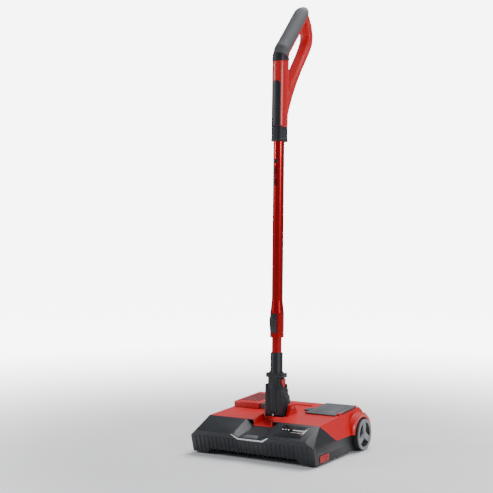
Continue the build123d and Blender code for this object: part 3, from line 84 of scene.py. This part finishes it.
studio = {
    "floorSize": 30, "floorColour": (0.94, 0.945, 0.955),
    "seenAir": (0.97, 0.98, 1.0), "seenStrength": 7.0,      # the white backdrop itself
    "litAir": (0.80, 0.84, 0.92), "litStrength": 0.30,      # what it throws on the object
    "floorFade": {"From Min": 0.42, "From Max": 3.0, "To Min": 0.0, "To Max": 7.0},
    "softboxes": [   # name, size, power, place, aimed at
        ("overhead", 2.4, 120, (0.3, 1.3, 2.9), (0, 0, 0.1)),
        ("leftStrip", 0.8, 24, (-2.2, -1.6, 1.5), (0, 0, 0.6)),
        ("rightKey", 0.7, 26, (2.7, -0.9, 1.5), (0, 0, 0.6)),
    ],
}


def softbox(name, size, power, place, aim):
    bpy.ops.object.light_add(type="AREA", location=place)
    lamp = bpy.context.object
    lamp.name = name
    lamp.data.shape = "DISK"
    lamp.data.size = size
    lamp.data.energy = power
    lamp.rotation_euler = (Vector(aim) - Vector(place)).to_track_quat("-Z", "Y").to_euler()
    return lamp


for box in studio["softboxes"]:
    softbox(*box)

world = bpy.data.worlds.new("studioAir")
world.use_nodes = True
airTree = world.node_tree
litAir = airTree.nodes["Background"]
seenAir = airTree.nodes.new("ShaderNodeBackground")   # what the camera sees directly
for air, key in ((litAir, "lit"), (seenAir, "seen")):
    air.inputs["Color"].default_value = (*studio[key + "Air"], 1)
    air.inputs["Strength"].default_value = studio[key + "Strength"]
rayKind = airTree.nodes.new("ShaderNodeLightPath")
airMix = airTree.nodes.new("ShaderNodeMixShader")
airTree.links.new(rayKind.outputs["Is Camera Ray"], airMix.inputs["Fac"])
airTree.links.new(litAir.outputs[0], airMix.inputs[1])
airTree.links.new(seenAir.outputs[0], airMix.inputs[2])
airTree.links.new(airMix.outputs[0], airTree.nodes["World Output"].inputs["Surface"])
bpy.context.scene.world = world
print("camera and lights placed")


# shader groups shared by the materials

def newGroup(name, inputs, outputs):
    group = bpy.data.node_groups.new(name, "ShaderNodeTree")
    for label, kind, value in inputs:
        socket = group.interface.new_socket(label, in_out="INPUT", socket_type=kind)
        if value is not None:
            socket.default_value = value
    for label, kind in outputs:
        group.interface.new_socket(label, in_out="OUTPUT", socket_type=kind)
    return group, group.nodes.new("NodeGroupInput"), group.nodes.new("NodeGroupOutput")


def addNode(tree, kind, place=(0, 0), values=None, **settings):
    node = tree.nodes.new(kind)
    node.location = place
    for key, value in settings.items():
        setattr(node, key, value)
    for key, value in (values or {}).items():
        node.inputs[key].default_value = value
    return node


def makeEdgeGroup():
    # rounds sharp edges in the shading and marks them, for a painted highlight line along them
    group, start, end = newGroup(
        "edgeRound",
        [("Radius", "NodeSocketFloat", 0.0008)],
        [("Normal", "NodeSocketVector"), ("Edge", "NodeSocketFloat")],
    )
    bevel = addNode(group, "ShaderNodeBevel", (-300, 100), samples=6)
    geometry = addNode(group, "ShaderNodeNewGeometry", (-300, -150))
    facing = addNode(group, "ShaderNodeVectorMath", (-80, 0), operation="DOT_PRODUCT")
    spread = addNode(group, "ShaderNodeMapRange", (120, 0),
                     {"From Min": 1.0, "From Max": 0.86, "To Min": 0.0, "To Max": 1.0})
    link = group.links.new
    link(start.outputs["Radius"], bevel.inputs["Radius"])
    link(bevel.outputs["Normal"], facing.inputs[0])
    link(geometry.outputs["Normal"], facing.inputs[1])
    link(facing.outputs["Value"], spread.inputs["Value"])
    link(bevel.outputs["Normal"], end.inputs["Normal"])
    link(spread.outputs["Result"], end.inputs["Edge"])
    return group


def makeGrainGroup():
    # fine moulded grain with a slow drift of tone and gloss, and a painted highlight colour mixed in along the
    # marked edges
    group, start, end = newGroup(
        "grainAndEdgeHighlight",
        [("Colour", "NodeSocketColor", (0.5, 0.5, 0.5, 1)), ("Roughness", "NodeSocketFloat", 0.4),
         ("Grain Size", "NodeSocketFloat", 900.0), ("Grain Height", "NodeSocketFloat", 0.15),
         ("Drift", "NodeSocketFloat", 0.08), ("Edge", "NodeSocketFloat", 0.0),
         ("Edge Highlight Colour", "NodeSocketColor", (0.7, 0.7, 0.7, 1)), ("Base Normal", "NodeSocketVector", None)],
        [("Colour", "NodeSocketColor"), ("Roughness", "NodeSocketFloat"), ("Normal", "NodeSocketVector")],
    )
    link = group.links.new
    place = addNode(group, "ShaderNodeTexCoord", (-900, 0))
    fine = addNode(group, "ShaderNodeTexNoise", (-650, 200), {"Detail": 3.0, "Roughness": 0.6})
    slow = addNode(group, "ShaderNodeTexNoise", (-650, -100), {"Scale": 14.0, "Detail": 4.0})
    link(place.outputs["Object"], fine.inputs["Vector"])
    link(place.outputs["Object"], slow.inputs["Vector"])
    link(start.outputs["Grain Size"], fine.inputs["Scale"])
    bump = addNode(group, "ShaderNodeBump", (-200, 250), {"Distance": 0.0002})
    link(fine.outputs["Fac"], bump.inputs["Height"])
    link(start.outputs["Grain Height"], bump.inputs["Strength"])
    link(start.outputs["Base Normal"], bump.inputs["Normal"])
    centred = addNode(group, "ShaderNodeMath", (-430, -100), {1: 0.5}, operation="SUBTRACT")
    swing = addNode(group, "ShaderNodeMath", (-250, -100), operation="MULTIPLY")
    link(slow.outputs["Fac"], centred.inputs[0])
    link(centred.outputs[0], swing.inputs[0])
    link(start.outputs["Drift"], swing.inputs[1])
    gain = addNode(group, "ShaderNodeMath", (-80, -100), {1: 1.0}, operation="ADD")
    link(swing.outputs[0], gain.inputs[0])
    tint = addNode(group, "ShaderNodeVectorMath", (80, 0), operation="SCALE")
    link(start.outputs["Colour"], tint.inputs[0])
    link(gain.outputs[0], tint.inputs["Scale"])
    # painted highlight: the lighter edge colour is mixed in where the edge mask marks sharp edges
    edgeHighlight = addNode(group, "ShaderNodeMix", (260, 0), data_type="RGBA")
    link(start.outputs["Edge"], edgeHighlight.inputs["Factor"])
    link(tint.outputs[0], edgeHighlight.inputs["A"])
    link(start.outputs["Edge Highlight Colour"], edgeHighlight.inputs["B"])
    rough = addNode(group, "ShaderNodeMath", (260, -200), operation="ADD")
    link(start.outputs["Roughness"], rough.inputs[0])
    link(swing.outputs[0], rough.inputs[1])
    link(edgeHighlight.outputs["Result"], end.inputs["Colour"])
    link(rough.outputs[0], end.inputs["Roughness"])
    link(bump.outputs["Normal"], end.inputs["Normal"])
    return group


edgeGroup = makeEdgeGroup()
grainGroup = makeGrainGroup()


def finish(name, colour, roughness, grainSize=900, grainHeight=0.15, drift=0.1, edgeWidth=0.0006,
           edgeShare=0.12, edgeHighlightColour=(0.6, 0.6, 0.6), metallic=0.0, coat=0.0, coatRoughness=0.1):
    # a moulded or painted surface; every finish starts here
    mat = bpy.data.materials.new(name)
    mat.use_nodes = True
    tree = mat.node_tree
    shader = tree.nodes["Principled BSDF"]
    edge = addNode(tree, "ShaderNodeGroup", (-900, -150), node_tree=edgeGroup)
    edge.inputs["Radius"].default_value = edgeWidth
    share = addNode(tree, "ShaderNodeMath", (-700, -250), {1: edgeShare}, operation="MULTIPLY")
    grain = addNode(tree, "ShaderNodeGroup", (-450, 0), node_tree=grainGroup)
    grain.name = "grain"
    for label, value in (("Colour", (*colour, 1)), ("Roughness", roughness), ("Grain Size", grainSize),
                         ("Grain Height", grainHeight), ("Drift", drift), ("Edge Highlight Colour", (*edgeHighlightColour, 1))):
        grain.inputs[label].default_value = value
    link = tree.links.new
    # the edge mask, scaled by edgeShare, sets how much painted highlight colour goes on the edges
    link(edge.outputs["Edge"], share.inputs[0])
    link(share.outputs[0], grain.inputs["Edge"])
    link(edge.outputs["Normal"], grain.inputs["Base Normal"])
    link(grain.outputs["Colour"], shader.inputs["Base Color"])
    link(grain.outputs["Roughness"], shader.inputs["Roughness"])
    link(grain.outputs["Normal"], shader.inputs["Normal"])
    shader.inputs["Metallic"].default_value = metallic
    shader.inputs["Coat Weight"].default_value = coat
    shader.inputs["Coat Roughness"].default_value = coatRoughness
    return mat


# each finish's lighter edge colour is a painted highlight along its sharp edges
finishes = {
    "red_shell": finish("glossRed", (0.64, 0.003, 0.005), 0.38, 1500, 0.08, 0.06, edgeShare=0.10,
                        edgeHighlightColour=(0.8, 0.12, 0.10), coat=0.3, coatRoughness=0.2),
    "dark_shell": finish("slateGrain", (0.013, 0.015, 0.019), 0.45, 1300, 0.35, 0.10, edgeShare=0.16,
                         edgeHighlightColour=(0.24, 0.26, 0.30)),
    "black_shell": finish("blackPan", (0.006, 0.0065, 0.0075), 0.42, 1100, 0.25, 0.08, edgeShare=0.16,
                          edgeHighlightColour=(0.13, 0.14, 0.16)),
    "grey_plastic": finish("lidGrey", (0.10, 0.105, 0.115), 0.42, 1200, 0.30, 0.08, edgeShare=0.25,
                           edgeHighlightColour=(0.42, 0.43, 0.45)),
    "tube_red": finish("redLacquer", (0.56, 0.006, 0.010), 0.27, 600, 0.012, 0.03, edgeShare=0.10,
                       edgeHighlightColour=(0.95, 0.4, 0.35), metallic=0.85, coat=0.4, coatRoughness=0.08),
    "silver_trim": finish("brightTrim", (0.62, 0.63, 0.65), 0.26, 800, 0.05, 0.05, metallic=1.0),
    "label_black": finish("glossPlate", (0.008, 0.008, 0.009), 0.16, 500, 0.03, 0.04, coat=0.5),
    "red_button": finish("buttonRed", (0.46, 0.004, 0.006), 0.38, 1200, 0.12, 0.06, edgeShare=0.15,
                         edgeHighlightColour=(0.9, 0.3, 0.28)),
    "wheel_grey": finish("rimGrey", (0.20, 0.205, 0.22), 0.40, 1200, 0.2, 0.08, edgeShare=0.25,
                         edgeHighlightColour=(0.55, 0.56, 0.58)),
    "tyre_rubber": finish("tyreRubber", (0.016, 0.016, 0.018), 0.72, 1600, 0.6, 0.12, edgeShare=0.2,
                          edgeHighlightColour=(0.08, 0.08, 0.085)),
    "bristle": finish("nylonBristle", (0.03, 0.03, 0.035), 0.5, 3000, 0.2, 0.2),
    "grip_rubber": finish("gripRubber", (0.085, 0.088, 0.095), 0.62, 700, 0.9, 0.12, edgeShare=0.2,
                          edgeHighlightColour=(0.25, 0.26, 0.27)),
    "belt_rubber": finish("beltRubber", (0.02, 0.02, 0.02), 0.75, 1600, 0.5, 0.1),
    "steel": finish("turnedSteel", (0.55, 0.55, 0.57), 0.32, 2200, 0.12, 0.08, metallic=1.0),
    "brass": finish("brassParts", (0.72, 0.52, 0.22), 0.3, 1800, 0.1, 0.08, metallic=1.0),
    "board_green": finish("boardGreen", (0.02, 0.14, 0.05), 0.4, 900, 0.1, 0.1),
    "inner_white": finish("innerWhite", (0.55, 0.55, 0.54), 0.5, 1100, 0.2, 0.08),
}
print("finishes made:", len(finishes))


# pieces carried over from the frame

def deselectAll():
    bpy.ops.object.select_all(action="DESELECT")


def only(piece):
    deselectAll()
    piece.select_set(True)
    bpy.context.view_layer.objects.active = piece


def dress(piece, material):
    piece.data.materials.clear()
    piece.data.materials.append(material)


def editAll(piece):
    only(piece)
    bpy.ops.object.mode_set(mode="EDIT")
    bpy.ops.mesh.select_all(action="SELECT")


def leaveEdit():
    bpy.ops.object.mode_set(mode="OBJECT")


def addModifier(piece, kind, **settings):
    only(piece)
    modifier = piece.modifiers.new("work", kind)
    for key, value in settings.items():
        setattr(modifier, key, value)
    bpy.ops.object.modifier_apply(modifier="work")


def applyPlace():
    bpy.ops.object.transform_apply(location=True, rotation=True, scale=True)


def joinUp(pieces):
    only(pieces[0])
    for piece in pieces:
        piece.select_set(True)
    bpy.ops.object.join()
    return pieces[0]


def faceOutward(piece):
    editAll(piece)
    bpy.ops.mesh.normals_make_consistent(inside=False)
    leaveEdit()


for name, node in nodes.items():
    dress(node, finishes[slotOf[name]])

softened = {   # node: bevel width in metres, for the moulded parts with a visible radius on their edges
    "front_cover": 0.0009, "base_housing": 0.0009,
    "tray_lid": 0.0006, "lid_latch": 0.0003, "battery_latch": 0.0005, "yoke": 0.0009, "tube_socket": 0.0006,
    "tube_foot": 0.0009, "handle_collar": 0.0008, "clamp_button": 0.0006, "dust_bin": 0.0009,
    "light_lens": 0.0003, "lamp_cover": 0.0004, "wheel_rim_left": 0.0005,
    "wheel_rim_right": 0.0005, "tyre_left": 0.0004, "tyre_right": 0.0004, "roller_release": 0.0003,
}


def soften(name, width):
    # a merged copy of the node's mesh, its flat parts joined up again and its edges rounded
    piece = nodes[name].copy()
    piece.data = nodes[name].data.copy()
    for key in list(piece.keys()):
        del piece[key]
    piece.parent = None
    piece.matrix_world = Matrix.Identity(4)
    bpy.context.scene.collection.objects.link(piece)
    piece.name = name + "_moulded"
    only(piece)
    bpy.ops.mesh.customdata_custom_splitnormals_clear()
    editAll(piece)
    bpy.ops.mesh.remove_doubles(threshold=0.00001)
    bpy.ops.mesh.dissolve_limited(angle_limit=math.radians(0.6))
    leaveEdit()
    addModifier(piece, "BEVEL", width=width, segments=2, limit_method="ANGLE", angle_limit=math.radians(28),
                miter_outer="MITER_ARC", use_clamp_overlap=True)
    bpy.ops.object.shade_smooth_by_angle(angle=math.radians(32))
    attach(piece, bodyOf[name])
    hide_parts(name)
    return piece


for name, width in softened.items():
    soften(name, width)
print("edges softened:", len(softened))

def newPiece(piece, name, node, material, smoothAngle=35):
    # names a finished mesh, puts it at the origin and gives it its body and the finish of its slot
    piece.name = name
    only(piece)
    applyPlace()
    bpy.ops.object.shade_smooth_by_angle(angle=math.radians(smoothAngle))
    dress(piece, finishes[material])
    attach(piece, bodyOf[node])
    return piece


def cutAway(piece, point, normal):
    # removes what lies on the side the normal points to, and closes the cut
    editAll(piece)
    bpy.ops.mesh.bisect(plane_co=point, plane_no=normal, use_fill=True, clear_outer=True)
    leaveEdit()


def copyPiece(piece):
    twin = piece.copy()
    twin.data = piece.data.copy()
    bpy.context.scene.collection.objects.link(twin)
    return twin


# the tube's own directions, from its joint and its box
tubeJoint = next(joint for joint in frame["joints"] if joint["name"] == "pole_pull")
tubeUp = Vector(tubeJoint["axis"]).normalized()
tubeBack = Vector((0, tubeUp.z, -tubeUp.y))
low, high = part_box("lower_tube")
tubeMid = (low + high) / 2
tubeFoot = tubeMid - tubeUp * (tubeMid.z / tubeUp.z)


def onTube(back, up, side=0.0):
    # a point given in millimetres behind the tube's axis, up along it and to the right
    return tubeFoot + (tubeBack * back + tubeUp * up + Vector((1, 0, 0)) * side) * 0.001


def squareRound(angle, power):
    # a point on a circle squared off by the power, 2 for round
    c, s = math.cos(angle), math.sin(angle)
    return (math.copysign(abs(c) ** (2 / power), c), math.copysign(abs(s) ** (2 / power), s))


def bar(sections, halfWidth, power, points=28):
    # a bar grown by extruding a rounded section from station to station;
    # each is (back, up, half depth) and, where it narrows, the share of the width left
    deselectAll()
    bpy.ops.mesh.primitive_circle_add(vertices=points, radius=1, fill_type="NGON")
    piece = bpy.context.object
    angles = {}
    editAll(piece)
    for step, (back, up, halfDepth, *share) in enumerate(sections):
        halfSpan = halfWidth * (share[0] if share else 1)
        before = sections[max(step - 1, 0)]
        after = sections[min(step + 1, len(sections) - 1)]
        run = Vector((after[0] - before[0], after[1] - before[1])).normalized()
        if step:
            bpy.ops.mesh.extrude_region_move()
        leaveEdit()
        chosen = [v for v in piece.data.vertices if v.select]
        if not step:
            angles = {v.index: math.atan2(v.co.y, v.co.x) for v in chosen}
        else:   # the new ring lies on the old one, so each new point takes the angle of the nearest old one
            angles = {v.index: angles[min(angles, key=lambda i: (piece.data.vertices[i].co - v.co).length)]
                      for v in chosen}
        for v in chosen:
            x, y = squareRound(angles[v.index], power)
            v.co = onTube(back + y * halfDepth * run.y, up - y * halfDepth * run.x, x * halfSpan)
        bpy.ops.object.mode_set(mode="EDIT")
    leaveEdit()
    faceOutward(piece)
    return piece


# handle loop: a column that bends into the grip, and a strut back down to it
handle = {
    "halfWidth": 19.5,
    "column": [(2.5, 820, 21.5), (3, 850, 22), (4, 910, 22.5), (4.5, 960, 23), (5, 985, 22.5),
               (6, 1004, 21.5), (12, 1020, 20), (25, 1034, 19.4), (61, 1076, 19), (99, 1121, 19),
               (111, 1135, 18.4, 0.98), (119, 1144, 15.8, 0.88), (125, 1151, 10.5, 0.66),
               (128.5, 1155, 4.5, 0.32)],
    "strut": [(114, 1138, 6, 0.7), (125, 1130, 10, 0.9), (134, 1109, 13), (141, 1084, 13.5),
              (139, 1066, 13.5), (128, 1046, 12.5), (110, 1020, 11.5), (86, 988, 11),
              (63, 955, 11.6), (43, 924, 13), (24, 888, 14), (13, 858, 11)],
    "columnPower": 2.3, "strutPower": 2.8, "strutInset": 2.5,
    "voxel": 0.0013, "smooth": 9, "seam": 0.00022,
    "inlayTop": 938, "inlayHalf": 12, "inlayLow": 819, "inlayBack": -8, "inlayGrow": 0.0005,
    "inlayCuts": (18, 42, 66, 90, 114, 138, 162),   # degrees round its rounded top
    "padLow": 1003, "padSlant": 0.35, "padUnder": 0.003, "padGrow": 0.0006,
    "ringLow": 987, "ringFront": -20, "ringBack": 21, "ringSlant": 0.18, "ringGrow": 0.0010,
    "gripLow": (2, 1006), "gripRun": (0.648, 0.762),
    "smoothAngle": 60,
}


def makeHandle(info):
    column = bar(info["column"], info["halfWidth"], info["columnPower"])
    strut = bar(info["strut"], info["halfWidth"] - info["strutInset"], info["strutPower"])
    joinUp([column, strut])
    addModifier(column, "REMESH", mode="VOXEL", voxel_size=info["voxel"])
    addModifier(column, "SMOOTH", factor=0.5, iterations=info["smooth"])
    return column


handleBody = makeHandle(handle)
across = Vector((1, 0, 0))


def skin(source, grow):
    piece = copyPiece(source)
    addModifier(piece, "DISPLACE", strength=grow, mid_level=0.0, direction="NORMAL")
    return piece


def makePad(info):
    # soft cover over the top of the grip
    gripOut = tubeUp * info["gripRun"][0] - tubeBack * info["gripRun"][1]
    pad = skin(handleBody, info["padGrow"])
    cutAway(pad, onTube(0, info["padLow"]), -tubeUp - tubeBack * info["padSlant"])
    cutAway(pad, onTube(*info["gripLow"]) - gripOut * info["padUnder"], -gripOut)
    newPiece(pad, "grip_cover", "grip_pad", "grip_rubber", info["smoothAngle"])
    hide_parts("grip_pad")


def makeRing(info):
    # dark ring that closes the cover's lower end
    ring = skin(handleBody, info["ringGrow"])
    cutAway(ring, onTube(info["ringFront"], info["ringLow"]), -tubeUp + tubeBack * info["ringSlant"])
    cutAway(ring, onTube(0, info["padLow"]), tubeUp + tubeBack * info["padSlant"])
    cutAway(ring, onTube(info["ringBack"], info["ringLow"]), tubeBack)
    newPiece(ring, "grip_end_ring", "grip_pad", "dark_shell", info["smoothAngle"])


def makeInlay(info):
    # dark strip let into the column's front, with a rounded top
    inlay = skin(handleBody, info["inlayGrow"])
    middle = onTube(0, info["inlayTop"] - info["inlayHalf"])
    for side in (1, -1):
        cutAway(inlay, middle + across * side * info["inlayHalf"] * 0.001, across * side)
    for angle in info["inlayCuts"]:
        aim = across * math.cos(math.radians(angle)) + tubeUp * math.sin(math.radians(angle))
        cutAway(inlay, middle + aim * info["inlayHalf"] * 0.001, aim)
    cutAway(inlay, onTube(0, info["inlayLow"]), -tubeUp)
    cutAway(inlay, onTube(info["inlayBack"], info["inlayLow"]), tubeBack)
    newPiece(inlay, "column_inlay", "front_inlay", "dark_shell", info["smoothAngle"])
    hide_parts("front_inlay")


def makeHalf(info, side, hand):
    half = copyPiece(handleBody)
    cutAway(half, across * side * info["seam"], -across * side)
    newPiece(half, "handle_shell_" + hand, "handle_" + hand, "red_shell", info["smoothAngle"])
    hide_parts("handle_" + hand)


makePad(handle)
makeRing(handle)
makeInlay(handle)
makeHalf(handle, 1, "right")
makeHalf(handle, -1, "left")
bpy.data.objects.remove(handleBody)
print("handle shaped")


# battery: a red case with dark ribs let into its top
battery = {"edge": 0.0028, "ribs": 5, "ribWidth": 0.0062, "ribPitch": 0.0115, "ribLength": 0.088,
           "ribHeight": 0.004, "ribSunk": 0.0009, "ribEdge": 0.0012,
           "frontMargin": 0.018, "leftMargin": 0.017}
slope = math.radians(3.51)   # the head's top falls towards the front


def makeBattery(info):
    low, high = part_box("battery_pack")
    length = high.y - low.y
    middle = (low + high) / 2
    deselectAll()
    bpy.ops.mesh.primitive_cube_add(size=1, location=middle, scale=high - low)
    case = bpy.context.object
    applyPlace()
    for v in case.data.vertices:   # the top follows the slope of the head
        if v.co.z > middle.z and v.co.y < middle.y:
            v.co.z -= length * math.tan(slope)
    editAll(case)
    bpy.ops.mesh.subdivide(number_cuts=1)
    leaveEdit()
    addModifier(case, "BEVEL", width=info["edge"], segments=4, limit_method="ANGLE",
                angle_limit=math.radians(40))
    newPiece(case, "battery_case", "battery_pack", "red_shell")
    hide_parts("battery_pack")
    deselectAll()
    ribs = []
    for i in range(info["ribs"]):
        x = low.x + info["leftMargin"] + i * info["ribPitch"]
        y = low.y + info["frontMargin"] + info["ribLength"] / 2
        z = high.z - (high.y - y) * math.tan(slope) - info["ribSunk"]
        bpy.ops.mesh.primitive_cube_add(size=1, location=(x, y, z), rotation=(slope, 0, 0),
                                        scale=(info["ribWidth"], info["ribLength"], info["ribHeight"]))
        rib = bpy.context.object
        applyPlace()
        addModifier(rib, "BEVEL", width=info["ribEdge"], segments=3)
        ribs.append(rib)
    newPiece(joinUp(ribs), "battery_ribs", "battery_pack", "dark_shell")


makeBattery(battery)
print("battery made")


# label plate with a plain generic mark
label = {
    "thick": 0.0009, "edge": 0.0003, "sideMargin": 0.003, "lean": 0.003,
    "dots": 3, "dotSize": 0.0022, "dotPitch": 0.008, "dotsMiddle": (-0.018, 0.004),
    "bars": [(0.016, 0.004, 0.030, 0.0036), (0.016, -0.006, 0.030, 0.0012)],   # x, up, width, height
    "printLift": 0.0010, "printThick": 0.0004,
}


def makeLabel(info):
    low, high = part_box("label_plate")
    plateNode = nodes["label_plate"]
    toWorld = plateNode.matrix_world
    upward = [p for p in plateNode.data.polygons if (toWorld.to_3x3() @ p.normal).z > 0]
    top = max(upward, key=lambda p: p.area)
    normal = (toWorld.to_3x3() @ top.normal).normalized()
    onTop = toWorld @ top.center
    tilt = math.atan2(-normal.y, normal.z)
    middle = (low + high) / 2
    middle.z = onTop.z + (middle.y - onTop.y) * math.tan(tilt)
    deselectAll()
    bpy.ops.mesh.primitive_plane_add(size=1, location=middle, rotation=(tilt, 0, 0))
    plate = bpy.context.object
    plate.scale = (high.x - low.x - 2 * info["sideMargin"], (high.y - low.y) / math.cos(tilt), 1)
    applyPlace()
    for v in plate.data.vertices:   # a slight lean of its sides
        v.co.x += info["lean"] if v.co.y > middle.y else -info["lean"]
    addModifier(plate, "SOLIDIFY", thickness=info["thick"], offset=0.0)
    faceOutward(plate)
    addModifier(plate, "BEVEL", width=info["edge"], segments=2)
    newPiece(plate, "label_face", "label_plate", "label_black")
    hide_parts("label_plate")
    marks = []
    face = Matrix.Translation(middle) @ Matrix.Rotation(tilt, 4, "X")
    dotsX, dotsUp = info["dotsMiddle"]
    for i in range(info["dots"]):
        spot = face @ Vector(((i - 1) * info["dotPitch"] + dotsX, dotsUp, info["printLift"]))
        bpy.ops.mesh.primitive_cylinder_add(vertices=24, radius=info["dotSize"], depth=info["printThick"],
                                            location=spot, rotation=(tilt, 0, 0))
        marks.append(bpy.context.object)
    for x, up, wide, tall in info["bars"]:
        spot = face @ Vector((x, up, info["printLift"]))
        bpy.ops.mesh.primitive_cube_add(size=1, location=spot, rotation=(tilt, 0, 0),
                                        scale=(wide, tall, info["printThick"]))
        marks.append(bpy.context.object)
    newPiece(joinUp(marks), "label_marks", "label_plate", "inner_white")


makeLabel(label)
print("label made")


# plain printed marks on the tube: a patch with bars under it
tubeMark = {
    "lift": 0.00012, "back": -8,
    "patches": [(733, 9, 5.0), (709, 22, 1.3), (694, 4, 3.2), (679, 20, 1.3)],   # up, height, half width
}


def makeTubeMark(info):
    low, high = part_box("upper_tube")
    radius = (high.x - low.x) / 2 + info["lift"]
    along = tubeUp.to_track_quat("Z", "Y").to_euler()
    patches = []
    for up, tall, half in info["patches"]:
        deselectAll()
        bpy.ops.mesh.primitive_cylinder_add(vertices=96, radius=radius, depth=tall * 0.001,
                                            location=onTube(0, up), rotation=along)
        patch = bpy.context.object
        applyPlace()
        for side in (1, -1):
            cutAway(patch, onTube(0, up, side * half), across * side)
        cutAway(patch, onTube(info["back"], up), tubeBack)
        patches.append(patch)
    newPiece(joinUp(patches), "tube_marks", "upper_tube", "label_black")


makeTubeMark(tubeMark)
print("tube marked")


# the catch spring, copied as a piece of its own
low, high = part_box("latch_spring")
spring = copyPiece(nodes["latch_spring"])
for key in list(spring.keys()):
    del spring[key]
newPiece(spring, "latch_coil", "latch_spring", "steel")
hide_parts("latch_spring")
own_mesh(spring)
print("spring copied")


# floor, running into the backdrop

bpy.ops.mesh.primitive_plane_add(size=studio["floorSize"], location=(0, 0, 0))
floor = bpy.context.object
floor.name = "studioFloor"
paleFloor = finish("paleFloor", studio["floorColour"], 0.55, 40, 0.0, 0.02, edgeShare=0.0)
dress(floor, paleFloor)


def fadeFloor(material):
    # the sheet brightens away from the object, so it runs into the backdrop with no line
    tree = material.node_tree
    output = next(n for n in tree.nodes if n.bl_idname == "ShaderNodeOutputMaterial")
    shader = output.inputs["Surface"].links[0].from_socket
    place = addNode(tree, "ShaderNodeTexCoord")
    away = addNode(tree, "ShaderNodeVectorMath", operation="LENGTH")
    ramp = addNode(tree, "ShaderNodeMapRange", values=studio["floorFade"], interpolation_type="SMOOTHSTEP")
    kind = addNode(tree, "ShaderNodeLightPath")
    share = addNode(tree, "ShaderNodeMath", operation="MULTIPLY")
    glow = addNode(tree, "ShaderNodeEmission", values={"Color": (*studio["seenAir"], 1)})
    total = addNode(tree, "ShaderNodeAddShader")
    link = tree.links.new
    link(place.outputs["Object"], away.inputs[0])
    link(away.outputs["Value"], ramp.inputs["Value"])
    link(ramp.outputs["Result"], share.inputs[0])
    link(kind.outputs["Is Camera Ray"], share.inputs[1])
    link(share.outputs[0], glow.inputs["Strength"])
    link(shader, total.inputs[0])
    link(glow.outputs[0], total.inputs[1])
    link(total.outputs[0], output.inputs["Surface"])


fadeFloor(paleFloor)
